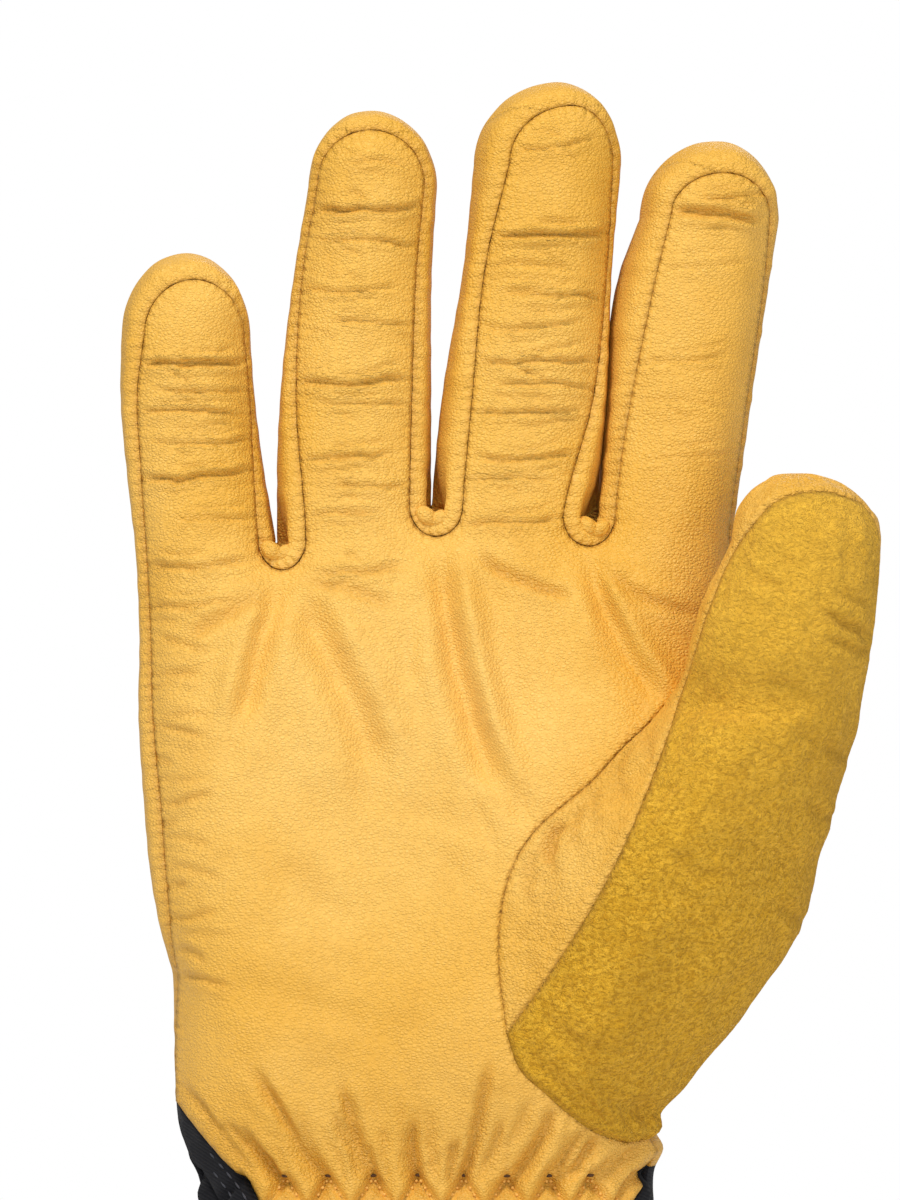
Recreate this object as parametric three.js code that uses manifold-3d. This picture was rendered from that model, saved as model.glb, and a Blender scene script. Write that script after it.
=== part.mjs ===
// A right-hand leather work glove, filled out as if worn: palm towards -Y, fingers up along +Z,
// thumb at +X. The origin is the middle of the wrist, at the height of its gathering stitch.
import * as THREE from 'three';
import { mergeVertices } from 'three/addons/utils/BufferGeometryUtils.js';
import Module from 'manifold-3d';

const wasm = await Module();
wasm.setup();

// ---- Driving dimensions, in millimetres ----

const wall = 1.8; // leather and cuff cloth
const seamGap = 0.3; // between two sewn pieces
const thumbHoleGap = 0.45; // sideways room round the thumb, which leaves a seam gap on its slopes
const hem = -40; // height of the open end of the cuff
const handTop = 117; // height of the crotches between the fingers
const handSquareness = 2.4; // 2 is an ellipse, more is squarer
const fingerSquareness = 2.2;
const pleatCount = 27; // gathers all round the wrist
const pleatDepth = 1.6;
const pleatReach = 22; // how far the gathers fan up from the wrist
const fingerCurl = 5; // how far the longest fingertip leans towards the palm
const sideSeam = { atWrist: -1, slope: -0.03 }; // y of the palm's rearmost edge, and its lean
const stripSeam = { atWrist: 12, slope: -0.06 }; // y of the strips' rear edges, and their lean
const far = 75; // past every piece, for cutting shapes

// Points round each form, outside and inside.
const pointsRoundHand = { outside: pleatCount * 2, inside: pleatCount };
const pointsRoundFinger = { outside: 16, inside: 10 };
const pointsRoundThumb = { outside: 20, inside: 14 };

// Hand: height, left edge, right edge, depth in front of the middle, depth behind it.
const handStations = [
  [-40, -43.5, 44.0, 24.5, 24.5],
  [-14, -42.8, 43.4, 23.5, 23.5],
  [0, -42.2, 42.6, 22.0, 22.0],
  [14, -46.0, 43.8, 22.8, 22.0],
  [38, -47.6, 49.0, 22.0, 21.5],
  [60, -51.5, 52.5, 21.0, 20.5],
  [85, -53.5, 55.5, 19.5, 19.0],
  [103, -53.7, 57.0, 16.4, 16.2],
  [117, -53.0, 56.0, 11.6, 11.6],
];
const handLevelsOutside = [-40, -14, -6, 0, 6, 14, 30, 50, 70, 87, 100, 109, 117];
const handLevelsInside = [-45, -14, 0, 14, 40, 68, 95, 117];

// Fingers. Each station is height, left edge, right edge, left palm seam, right palm seam.
const fingers = [
  {
    name: 'little',
    depth: 11.8,
    stations: [
      [100, -53.0, -27.0, -51.2, -29.0],
      [118, -54.3, -28.0, -52.0, -31.0],
      [132, -55.8, -30.3, -52.8, -31.9],
      [146, -56.9, -32.0, -53.4, -32.6],
      [156, -56.6, -32.7, -52.0, -33.6],
    ],
    tip: [-44.6, 171.7],
    seamTop: [-42.8, 166.4],
  },
  {
    name: 'ring',
    depth: 12.6,
    stations: [
      [100, -27.0, 0.5, -22.0, -3.2],
      [120, -27.8, 0.9, -22.2, -3.1],
      [145, -27.1, 0.9, -24.0, -2.6],
      [170, -24.2, 1.1, -22.6, -1.6],
      [184, -21.8, 2.0, -20.1, -0.2],
    ],
    tip: [-10.4, 198.0],
    seamTop: [-10.2, 193.9],
  },
  {
    name: 'middle',
    depth: 13.2,
    stations: [
      [100, 0.9, 29.6, 6.6, 24.8],
      [122, 0.9, 31.4, 6.7, 25.2],
      [145, 3.0, 33.6, 8.6, 31.0],
      [170, 7.1, 34.6, 11.2, 33.7],
      [188, 8.9, 36.2, 15.5, 34.6],
    ],
    tip: [24.4, 203.2],
    seamTop: [27.0, 198.3],
  },
  {
    name: 'index',
    depth: 13.0,
    stations: [
      [100, 31.0, 56.8, 34.6, 56.0],
      [122, 33.0, 57.4, 34.9, 57.0],
      [135, 33.7, 59.2, 36.3, 58.6],
      [160, 35.6, 62.8, 41.0, 62.3],
      [178, 39.7, 65.5, 45.2, 63.8],
    ],
    tip: [53.7, 192.4],
    seamTop: [54.9, 186.0],
  },
];
const tipLevels = [0.4, 0.72, 0.93]; // parts of a fingertip's height that get a section

// Thumb: height, left edge, right edge, y of the left edge, y of the right edge,
// how far it stands in front of the line between its edges, and how far behind it.
const thumbStations = [
  [8, 33.0, 42.6, -16.2, -8.0, 2.0, 5.0],
  [12.5, 26.6, 43.8, -18.3, -6.0, 4.5, 7.0],
  [20, 18.0, 50.0, -20.0, -5.0, 9.0, 10.0],
  [30, 14.4, 57.5, -20.4, -5.0, 14.0, 13.5],
  [42, 13.2, 66.8, -20.2, -6.0, 18.0, 16.0],
  [48, 13.6, 69.8, -20.0, -7.0, 19.2, 16.5],
  [54, 14.6, 71.5, -19.8, -8.0, 20.0, 17.0],
  [66, 20.8, 74.6, -19.2, -11.0, 21.0, 17.0],
  [76, 31.5, 77.0, -20.5, -14.0, 20.0, 17.0],
  [88, 44.5, 79.6, -24.0, -20.0, 17.0, 15.0],
  [100, 48.6, 81.4, -27.0, -25.0, 15.0, 13.5],
  [112, 53.0, 82.5, -28.0, -28.0, 14.0, 13.5],
  [118, 55.5, 82.8, -28.5, -28.5, 13.6, 13.5],
];
const thumbTip = [67.4, 130.4];
const thumbHollowBottom = 16;
const thumbPadSeam = [
  [14.8, 27.9],
  [22.6, 39.0],
  [32.2, 54.9],
  [41.1, 74.6],
  [47.4, 92.1],
  [51.5, 105.6],
  [57.7, 118.6],
  [64.0, 125.4],
  [72.3, 126.9],
  [79.0, 126.0],
];
const thumbPadWrap = [7, 0.27]; // y of the pad's outer seam at the wrist, and its slope with height

// Long soft folds that run down the palm: from x, z to x, z, half width, depth.
const palmFolds = [
  [2, 112, 12.4, 76, 6, 1.5],
  [-27, 112, -32, 88, 5, 1.1],
  [-24, 110, -8.4, 76, 7, 1.1],
  [30, 114, 43, 88, 5, 1.4],
];

// The dark cloth at the wrist: its edges across the front, downwards, and its top edge behind.
const cuffFrontLeft = [
  [-46.4, 14.4],
  [-39.0, 6.1],
  [-31.2, -3.5],
  [-27.5, -14.0],
  [-26.0, -30.0],
];
const cuffFrontRight = [
  [45.0, 3.0],
  [41.5, 0.5],
  [37.7, -3.7],
  [30.5, -14.0],
  [28.0, -30.0],
];
const cuffBackLeftTop = 14.4;
const cuffBackRightTop = 3.0;

// ---- Sections and lofts ----

// The values of a table of stations at a height, on smooth curves through the stations.
function stationAt(stations, z) {
  const heights = stations.map((row) => row[0]);
  const last = heights.length - 1;
  const at = THREE.MathUtils.clamp(z, heights[0], heights[last]);
  const i = Math.min(heights.findIndex((h, k) => k < last && at <= heights[k + 1]), last - 1);
  const span = heights[i + 1] - heights[i];
  const t = (at - heights[i]) / span;
  const slope = (k, column) => {
    const a = Math.max(k - 1, 0);
    const b = Math.min(k + 1, last);
    return (stations[b][column] - stations[a][column]) / (heights[b] - heights[a]);
  };
  return stations[i].slice(1).map((from, c) => {
    const column = c + 1;
    const to = stations[i + 1][column];
    const [m0, m1] = [slope(i, column) * span, slope(i + 1, column) * span];
    const [t2, t3] = [t * t, t * t * t];
    return (
      (2 * t3 - 3 * t2 + 1) * from + (t3 - 2 * t2 + t) * m0 + (3 * t2 - 2 * t3) * to + (t3 - t2) * m1
    );
  });
}

// A rounded section as [across, forwards] pairs of -1 to 1, evenly spaced by its real length.
function evenSection(halfWidth, halfDepth, squareness, count) {
  const steps = count * 16;
  const bent = (value) => Math.sign(value) * Math.abs(value) ** (2 / squareness);
  const unit = (k) => {
    const angle = (k / steps) * 2 * Math.PI;
    return [bent(Math.sin(angle)), bent(Math.cos(angle))];
  };
  const lengths = [0];
  for (let k = 1; k <= steps; k += 1) {
    const [a, b] = [unit(k - 1), unit(k)];
    lengths.push(lengths[k - 1] + Math.hypot((b[0] - a[0]) * halfWidth, (b[1] - a[1]) * halfDepth));
  }
  const ring = [];
  let k = 0;
  for (let i = 0; i < count; i += 1) {
    while (lengths[k + 1] <= (i / count) * lengths[steps]) k += 1;
    ring.push(unit(k));
  }
  return ring;
}

// A closed loft: a cylinder whose rings are moved to the section at each height.
function loft(levels, around, sectionAt) {
  const rows = levels.length - 1;
  const geometry = new THREE.CylinderGeometry(1, 1, 1, around, rows);
  const sections = levels.map((z) => sectionAt(z));
  const position = geometry.attributes.position;
  for (let i = 0; i < position.count; i += 1) {
    const [x, y, z] = [position.getX(i), position.getY(i), position.getZ(i)];
    const row = Math.round((y + 0.5) * rows);
    const section = sections[row];
    const k = Math.round((Math.atan2(x, z) / (2 * Math.PI)) * around + around) % around;
    const middle = Math.hypot(x, z) < 0.5;
    const [px, py] = middle ? section.centre : section.ring[k];
    position.setXYZ(i, px, py, levels[row]);
  }
  return solidOf(geometry);
}

function solidOf(geometry) {
  geometry.deleteAttribute('normal');
  geometry.deleteAttribute('uv');
  const merged = mergeVertices(geometry, 1e-4);
  return new wasm.Manifold(
    new wasm.Mesh({
      numProp: 3,
      vertProperties: new Float32Array(merged.attributes.position.array),
      triVerts: new Uint32Array(merged.index.array),
    }),
  );
}

// A flat outline in x and z, made into a block from y = front to a y that may change with height.
function block(outline, front, backAt) {
  const shape = new THREE.Shape(outline.map(([x, z]) => new THREE.Vector2(x, z)));
  const geometry = new THREE.ExtrudeGeometry(shape, { depth: 1, bevelEnabled: false });
  geometry.rotateX(Math.PI / 2);
  const position = geometry.attributes.position;
  for (let i = 0; i < position.count; i += 1) {
    const behind = position.getY(i) > -0.5;
    position.setY(i, behind ? backAt(position.getZ(i)) : front);
  }
  return solidOf(geometry);
}

// An open line of [x, z] points, moved sideways to its left.
function beside(points, distance) {
  return points.map(([x, z], i) => {
    const [x0, z0] = points[Math.max(i - 1, 0)];
    const [x1, z1] = points[Math.min(i + 1, points.length - 1)];
    const length = Math.hypot(x1 - x0, z1 - z0);
    return [x - ((z1 - z0) / length) * distance, z + ((x1 - x0) / length) * distance];
  });
}

function union(solids) {
  return solids.reduce((all, next) => all.add(next));
}

// ---- Hand, fingers and thumb as whole outer and inner forms ----

// How deep the palm's folds are at a place on its surface.
function foldDepth(x, z) {
  return palmFolds.reduce((sum, [x0, z0, x1, z1, halfWidth, depth]) => {
    const line = new THREE.Line3(new THREE.Vector3(x0, 0, z0), new THREE.Vector3(x1, 0, z1));
    const place = new THREE.Vector3(x, 0, z);
    const distance = line.closestPointToPoint(place, true, new THREE.Vector3()).distanceTo(place);
    return sum + depth * Math.exp(-((distance / halfWidth) ** 2));
  }, 0);
}

// How far the fingers lean towards the palm at a height.
function leanAt(z) {
  return -fingerCurl * Math.max(0, (z - handTop) / (fingers[2].tip[1] - handTop)) ** 2;
}

function handSection(z, inset) {
  const inside = inset > 0;
  const count = inside ? pointsRoundHand.inside : pointsRoundHand.outside;
  const [left, right, front, back] = stationAt(handStations, z);
  const halfWidth = (right - left) / 2;
  const middle = (left + right) / 2;
  const even = evenSection(halfWidth, (front + back) / 2, handSquareness, count);
  const fade = inside ? 0 : Math.max(0, 1 - Math.abs(z) / (z > 0 ? pleatReach : pleatReach / 2));
  const ring = even.map(([u, v], k) => {
    const pleat = (k % 2 ? -1 : 1) * pleatDepth * 0.5 * fade;
    const reach = inset - pleat;
    const x = middle + u * (halfWidth - reach);
    const y = -v * ((v > 0 ? front : back) - reach);
    return [x, y + Math.max(v, 0) * foldDepth(x, z)];
  });
  return { ring, centre: [middle, 0] };
}

function fingerSection(finger, z, inset) {
  const { stations, tip } = finger;
  const shoulder = stations[stations.length - 1][0];
  const [left, right] = stationAt(stations, z);
  const rise = Math.max(0, (z - shoulder) / (tip[1] - inset - shoulder));
  const round = Math.sqrt(Math.max(0, 1 - rise * rise));
  const middle = THREE.MathUtils.lerp((left + right) / 2, tip[0], rise);
  const halfWidth = ((right - left) / 2 - inset) * round;
  const halfDepth = (finger.depth - inset) * round;
  const lean = leanAt(z);
  const count = inset > 0 ? pointsRoundFinger.inside : pointsRoundFinger.outside;
  const even = evenSection(halfWidth, halfDepth, fingerSquareness, count);
  const ring = even.map(([u, v]) => [middle + u * halfWidth, lean - v * halfDepth]);
  return { ring, centre: [middle, lean] };
}

function thumbSection(z, inset) {
  const shoulder = thumbStations[thumbStations.length - 1][0];
  const [left, right, yLeft, yRight, front, back] = stationAt(thumbStations, z);
  const rise = Math.max(0, (z - shoulder) / (thumbTip[1] - Math.max(inset, 0) - shoulder));
  const round = Math.sqrt(Math.max(0, 1 - rise * rise));
  const middle = THREE.MathUtils.lerp((left + right) / 2, thumbTip[0], rise);
  const halfWidth = ((right - left) / 2 - inset) * round;
  const count = inset > 0 ? pointsRoundThumb.inside : pointsRoundThumb.outside;
  const even = evenSection(halfWidth, (front + back) / 2, fingerSquareness, count);
  const ring = even.map(([u, v]) => {
    const line = THREE.MathUtils.lerp(yLeft, yRight, (u + 1) / 2);
    return [middle + u * halfWidth, line - v * ((v > 0 ? front : back) - inset) * round];
  });
  return { ring, centre: [middle, (yLeft + yRight) / 2] };
}

function fingerLevels(finger, inset) {
  const heights = finger.stations.map((row) => row[0]);
  const shoulder = heights[heights.length - 1];
  const top = finger.tip[1] - inset;
  return [...heights, ...tipLevels.map((part) => shoulder + part * (top - shoulder)), top - 0.05];
}

function thumbLevels(inset) {
  const heights = thumbStations.map((row) => row[0]);
  const shoulder = heights[heights.length - 1];
  const top = thumbTip[1] - inset;
  const bottom = inset > 0 ? thumbHollowBottom : heights[0] + inset * 2;
  const kept = heights.filter((z) => z > bottom);
  return [bottom, ...kept, ...tipLevels.map((part) => shoulder + part * (top - shoulder)), top - 0.05];
}

function handForm(inset) {
  const side = inset > 0 ? 'inside' : 'outside';
  const levels = inset > 0 ? handLevelsInside : handLevelsOutside;
  const bodyLevels = levels.map((z) => Math.min(z, handTop - inset));
  const body = loft(bodyLevels, pointsRoundHand[side], (z) => handSection(z, inset));
  const tubes = fingers.map((finger) =>
    loft(fingerLevels(finger, inset), pointsRoundFinger[side], (z) => fingerSection(finger, z, inset)),
  );
  return union([body, ...tubes]);
}

function thumbForm(inset) {
  const around = inset > 0 ? pointsRoundThumb.inside : pointsRoundThumb.outside;
  return loft(thumbLevels(inset), around, (z) => thumbSection(z, inset));
}

// ---- Outlines of the cut pieces ----

// The palm's outline at a finger, up the left seam, round the tip and down the right seam.
function fingerSeam(finger, grow) {
  const { stations, seamTop } = finger;
  const upper = stations.slice(1);
  const shoulder = upper[upper.length - 1];
  const left = upper.map((row) => [row[3] - grow, row[0]]);
  const right = upper.map((row) => [row[4] + grow, row[0]]).reverse();
  const round = [0.35, 0.6, 0.8].map((turn) => turn * (Math.PI / 2));
  const rise = seamTop[1] + grow - shoulder[0];
  const leftRound = round.map((angle) => [
    THREE.MathUtils.lerp(seamTop[0], shoulder[3] - grow, Math.cos(angle)),
    shoulder[0] + rise * Math.sin(angle),
  ]);
  const rightRound = round.map((angle) => [
    THREE.MathUtils.lerp(seamTop[0], shoulder[4] + grow, Math.cos(angle)),
    shoulder[0] + rise * Math.sin(angle),
  ]);
  return [...left, ...leftRound, [seamTop[0], shoulder[0] + rise], ...rightRound.reverse(), ...right];
}

// The small loop at the bottom of the gap between two fingers.
function crotchLoop(leftFinger, rightFinger, grow) {
  const from = leftFinger.stations[1][4] + grow;
  const to = rightFinger.stations[1][3] - grow;
  const low = handTop - 4.4 + grow;
  return [
    [THREE.MathUtils.lerp(from, to, 0.2), low],
    [THREE.MathUtils.lerp(from, to, 0.8), low],
  ];
}

function palmOutline(grow) {
  const outline = [
    [-far, hem - 10],
    [-far, 38],
    [-49.6 - grow, 40],
    [-51.4 - grow, 60],
    [-52.4 - grow, 88],
    [-51.6 - grow, 104],
  ];
  fingers.forEach((finger, i) => {
    outline.push(...fingerSeam(finger, grow));
    if (i < fingers.length - 1) outline.push(...crotchLoop(finger, fingers[i + 1], grow));
  });
  outline.push([55.5 + grow, 104], [54.5 + grow, 88], [54.5 + grow, 20], [far, 14], [far, hem - 10]);
  return outline;
}

function palmShape(grow) {
  return block(palmOutline(grow), -far, (z) => sideSeam.atWrist + sideSeam.slope * z + grow);
}

// The strip between two fingers, from the middle of one to the middle of the next.
function stripBlock(leftFinger, rightFinger, grow) {
  const middleAt = (finger, z) => {
    const [left, right] = stationAt(finger.stations, z);
    return (left + right) / 2;
  };
  const shoulderOf = (finger) => finger.stations[finger.stations.length - 1][0] + 2 + grow;
  const sideOf = (finger) =>
    [106, 122, 145, shoulderOf(finger)].map((z) => [middleAt(finger, z), z]);
  const level = Math.min(shoulderOf(leftFinger), shoulderOf(rightFinger));
  const gap = (stationAt(leftFinger.stations, level)[1] + stationAt(rightFinger.stations, level)[0]) / 2;
  const outline = [
    ...sideOf(leftFinger),
    [gap, shoulderOf(leftFinger)],
    [gap, shoulderOf(rightFinger)],
    ...sideOf(rightFinger).reverse(),
  ];
  return block(outline, -far, (z) => stripSeam.atWrist + stripSeam.slope * z + grow);
}

function cuffBlock(grow) {
  const low = hem - 10;
  const leftEdge = beside(cuffFrontLeft, grow);
  const rightEdge = beside(cuffFrontRight, -grow);
  const left = [[-far, cuffBackLeftTop + grow], ...leftEdge, [leftEdge.at(-1)[0], low], [-far, low]];
  const right = [[far, cuffBackRightTop + grow], ...rightEdge, [rightEdge.at(-1)[0], low], [far, low]];
  const behind = [
    [-far, cuffBackLeftTop + grow],
    [-46, cuffBackLeftTop + grow],
    [44, cuffBackRightTop + grow],
    [far, cuffBackRightTop + grow],
    [far, low],
    [-far, low],
  ];
  const sides = [left, right].map((outline) => block(outline, -far, () => 1));
  return union([...sides, block(behind, sideSeam.atWrist + seamGap - grow, () => far)]);
}

// The napped front of the thumb, which wraps round its outer side.
function thumbPadBlock(grow) {
  const seam = beside(thumbPadSeam, grow);
  const outline = [
    [5, 5],
    [5, 22],
    ...seam,
    [far + 20, seam.at(-1)[1]],
    [far + 20, 60],
    [far + 20, 5],
  ];
  return block(outline, -far, (z) => thumbPadWrap[0] + grow - thumbPadWrap[1] * (z - 10));
}

// ---- Cutting the pieces out of the forms ----

const handOutside = handForm(0);
const handInside = handForm(wall);
const thumbOutside = thumbForm(0);
const thumbInside = thumbForm(wall);
const thumbHole = thumbForm(-thumbHoleGap);

const handWalls = handOutside.subtract(handInside).subtract(thumbHole);
const thumbWalls = thumbOutside.subtract(thumbInside).subtract(handInside);

const palmBlock = palmShape(0);
const palmHole = palmShape(seamGap);
const cuffHole = cuffBlock(seamGap);
const stripPairs = fingers.slice(1).map((finger, i) => [fingers[i], finger]);
const stripHoles = union(stripPairs.map(([left, right]) => stripBlock(left, right, seamGap)));

const palm = handWalls.intersect(palmBlock).subtract(cuffHole);
const strips = stripPairs.map(([left, right]) =>
  handWalls.intersect(stripBlock(left, right, 0)).subtract(palmHole),
);
const back = handWalls.subtract(palmHole).subtract(stripHoles).subtract(cuffHole);
const cuff = handWalls.intersect(cuffBlock(0));
const thumbPad = thumbWalls.intersect(thumbPadBlock(0));
const thumbBack = thumbWalls.subtract(thumbPadBlock(seamGap));

// ---- Materials and the finished glove ----

const goldLeather = { color: 0xe3a83e, roughness: 0.55, metalness: 0 };
const goldNap = { color: 0xc8972b, roughness: 0.95, metalness: 0 };
const darkCloth = { color: 0x1b1b1c, roughness: 0.9, metalness: 0 };

function piece(name, solid, look) {
  const { vertProperties, triVerts } = solid.getMesh();
  const geometry = new THREE.BufferGeometry();
  geometry.setAttribute('position', new THREE.BufferAttribute(new Float32Array(vertProperties), 3));
  geometry.setIndex(new THREE.BufferAttribute(new Uint32Array(triVerts), 1));
  geometry.computeVertexNormals();
  const mesh = new THREE.Mesh(geometry, new THREE.MeshStandardMaterial(look));
  mesh.name = name;
  return mesh;
}

const glove = new THREE.Group();
glove.name = 'work_glove';
glove.add(piece('palm', palm, goldLeather), piece('back', back, goldLeather));
strips.forEach((strip, i) => {
  glove.add(piece(`fourchette_${fingers[i].name}_${fingers[i + 1].name}`, strip, goldLeather));
});
glove.add(
  piece('thumb_pad', thumbPad, goldNap),
  piece('thumb_back', thumbBack, goldLeather),
  piece('cuff_back', cuff, darkCloth),
);

export default glove;
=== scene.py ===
import math

import bpy
import numpy as np
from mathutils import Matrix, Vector, geometry, kdtree, noise


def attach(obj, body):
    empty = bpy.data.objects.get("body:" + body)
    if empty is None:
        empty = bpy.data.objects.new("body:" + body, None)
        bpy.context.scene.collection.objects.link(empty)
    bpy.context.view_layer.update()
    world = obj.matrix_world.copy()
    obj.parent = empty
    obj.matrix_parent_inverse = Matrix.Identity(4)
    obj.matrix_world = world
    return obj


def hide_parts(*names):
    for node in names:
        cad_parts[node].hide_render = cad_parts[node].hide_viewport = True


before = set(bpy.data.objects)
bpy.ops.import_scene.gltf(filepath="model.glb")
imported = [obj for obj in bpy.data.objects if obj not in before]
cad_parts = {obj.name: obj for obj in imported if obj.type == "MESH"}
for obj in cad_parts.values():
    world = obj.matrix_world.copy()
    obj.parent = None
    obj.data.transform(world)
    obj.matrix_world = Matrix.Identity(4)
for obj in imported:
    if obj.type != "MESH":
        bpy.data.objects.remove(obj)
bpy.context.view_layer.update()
mm = 0.001                                  # lengths below are in millimetres until a mesh is made

# small maths


def curveAt(xs, ys, x):
    xs = np.asarray(xs, float)
    ys = np.asarray(ys, float)
    x = np.clip(np.asarray(x, float), xs[0], xs[-1])
    slope = np.gradient(ys, xs)
    i = np.clip(np.searchsorted(xs, x) - 1, 0, len(xs) - 2)
    h = xs[i + 1] - xs[i]
    t = (x - xs[i]) / h
    start = (2 * t ** 3 - 3 * t ** 2 + 1) * ys[i] + (t ** 3 - 2 * t ** 2 + t) * h * slope[i]
    return start + (3 * t ** 2 - 2 * t ** 3) * ys[i + 1] + (t ** 3 - t ** 2) * h * slope[i + 1]


def tableAt(rows, x, column=1):
    rows = sorted(rows)
    return curveAt([r[0] for r in rows], [r[column] for r in rows], x)


def ease(a, b, x):
    t = np.clip((np.asarray(x, float) - a) / (b - a), 0, 1)
    return t * t * (3 - 2 * t)


def hill(d, width):
    return np.exp(-(np.asarray(d, float) / width) ** 2)


def dome(t, power=2.3):
    t = np.clip(t, 0, 1)
    return (1 - (1 - t) ** power) ** (1 / power)


def evenly(line, spacing):
    line = np.asarray(line, float)
    run = np.concatenate([[0], np.cumsum(np.linalg.norm(np.diff(line, axis=0), axis=1))])
    at = np.linspace(0, run[-1], max(2, int(round(run[-1] / spacing)) + 1))
    return np.stack([np.interp(at, run, line[:, k]) for k in range(line.shape[1])], 1)


def through(points, spacing=0.8):
    points = np.asarray(points, float)
    run = np.concatenate([[0], np.cumsum(np.linalg.norm(np.diff(points, axis=0), axis=1))])
    at = np.linspace(0, run[-1], max(3, int(run[-1] / spacing) * 4))
    return evenly(np.stack([curveAt(run, points[:, k], at) for k in range(points.shape[1])], 1), spacing)


def roughly(points, size, seed=0.0):        # soft noise in -1..1 at each point
    spots = [(x / size + seed, z / size - seed, seed * 1.7) for x, z in points]
    return np.array([noise.noise(Vector(spot)) for spot in spots])


class Seam:                                 # a line that can say how near and how far along a point is
    def __init__(self, line, width=None):
        self.line = np.asarray(line, float)
        step = np.linalg.norm(np.diff(self.line, axis=0), axis=1)
        self.run = np.concatenate([[0], np.cumsum(step)])
        self.width = np.zeros(len(self.line)) if width is None else np.asarray(width, float)
        self.tree = kdtree.KDTree(len(self.line))
        for i, p in enumerate(self.line):
            self.tree.insert((p[0], p[1], 0), i)
        self.tree.balance()

    def near(self, points):                 # distance, run along the line, the line's width there
        points = np.asarray(points, float)
        first = np.array([self.tree.find((p[0], p[1], 0))[1] for p in points])
        best = np.full(len(points), 1e9)
        run = np.zeros(len(points))
        width = np.zeros(len(points))
        for back in (1, 0):
            a = np.clip(first - back, 0, len(self.line) - 2)
            start = self.line[a]
            way = self.line[a + 1] - start
            t = np.clip(((points - start) * way).sum(1) / np.maximum((way ** 2).sum(1), 1e-9), 0, 1)
            far = np.linalg.norm(points - start - way * t[:, None], axis=1)
            nearer = far < best
            best = np.where(nearer, far, best)
            run = np.where(nearer, self.run[a] + (self.run[a + 1] - self.run[a]) * t, run)
            width = np.where(nearer, self.width[a] + (self.width[a + 1] - self.width[a]) * t, width)
        return best, run, width


print("maths ready")

# outlines: seam (palm's edge), rim (the silhouette) and inner (the back's edge), matched point for point

hand = {                                    # a table's rows are a height and a place or a size there
    "hem": -40.0,
    "backInset": 2.6,                       # how far in from the rim the back's own panel starts
    "left": [[-40, -43.5], [-14, -42.8], [-3.7, -41.6], [4, -43.8], [9.3, -45.7], [15.7, -46.4], [30, -46.9],
             [37.9, -47.2], [45.3, -49.2], [55.5, -51.1], [70.3, -52.5], [88.8, -53.5], [98, -53.3],
             [106.7, -53.5], [116, -54], [129.7, -55.5], [145.8, -56.8], [156, -56.6]],
    "leftRoll": [[-40, 1.2], [38, 1.2], [42, 1.6], [50, 2.8], [60, 3.4], [80, 3.2], [100, 2.4], [118, 2.3],
                 [132, 3.0], [146, 3.5], [156, 4.6]],
    "right": [[-40, 44], [-14, 43.4], [-3.7, 42.5], [1.7, 42.7], [5.6, 44.2], [8, 42.8], [14, 43.8], [38, 49],
              [60, 52.5], [85, 55.5], [104, 57], [122, 57.3]],
    "crotchTops": [118.4, 124.6, 122.8, 118.0],     # where each loop between fingers starts; last, the side
    "crotchDepth": 5.6,
    "frontDepth": [[-40, 23], [-14, 20.5], [0, 17.6], [14, 20.8], [28, 22], [42, 22], [60, 21],
                   [85, 19.5], [104, 17], [117, 14.5], [125, 13.3], [150, 13], [205, 13]],
    "fingerCurl": 5.0,                      # how far the fingertips come forward
    "curlFrom": 117.0,
    "curlOver": 86.0,                       # length over which they do
    "palmRound": 24.0,                      # how far in from its edge the hand still rounds, and a finger
    "fingerRound": 12.0,
    "crotchRim": 0.8,
    "column": 0.8,                          # width of a column of the strips
}

fingers = {                                 # rows: height, left rim, right rim, left seam, right seam
    "little": {"rows": [[100, -53, -27, -51.2, -29], [118, -54.3, -28, -52, -31],
                        [132, -55.8, -30.3, -52.8, -31.9], [146, -56.9, -32, -53.4, -32.6],
                        [156, -56.6, -32.7, -52, -33.6]],
               "tip": [-44.6, 171.7], "seamTop": [-42.8, 166.4]},
    "ring": {"rows": [[100, -27, 0.5, -22, -3.2], [120, -27.8, 0.9, -22.2, -3.1],
                      [145, -27.1, 0.9, -24, -2.6], [170, -24.2, 1.1, -22.6, -1.6],
                      [184, -21.8, 2, -20.1, -0.2]],
             "tip": [-10.4, 198], "seamTop": [-10.2, 193.9]},
    "middle": {"rows": [[100, 0.9, 29.6, 6.6, 24.8], [122, 0.9, 31.4, 6.7, 25.2], [145, 3, 33.6, 8.6, 31],
                        [170, 7.1, 34.6, 11.2, 33.7], [188, 8.9, 36.2, 15.5, 34.6]],
               "tip": [24.4, 203.2], "seamTop": [27, 198.3]},
    "index": {"rows": [[100, 30.5, 56.8, 34.6, 56], [122, 31.3, 57.4, 34.9, 56.5],
                       [135, 32.7, 59.2, 36.3, 58.3], [148, 33.6, 61, 38.6, 60.1],
                       [160, 34.4, 62.8, 41, 61.9], [168, 36, 64, 42.7, 62.9],
                       [178, 39.7, 65.5, 45.2, 63.6]],
              "tip": [53.7, 192.4], "seamTop": [54.9, 186]},
}
fingerOrder = ["little", "ring", "middle", "index"]


def sideRun(z, seamX, rimX, inward):
    return {"seam": np.stack([seamX, z], 1), "rim": np.stack([rimX, z], 1),
            "inner": np.stack([rimX + inward, z], 1)}


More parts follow.
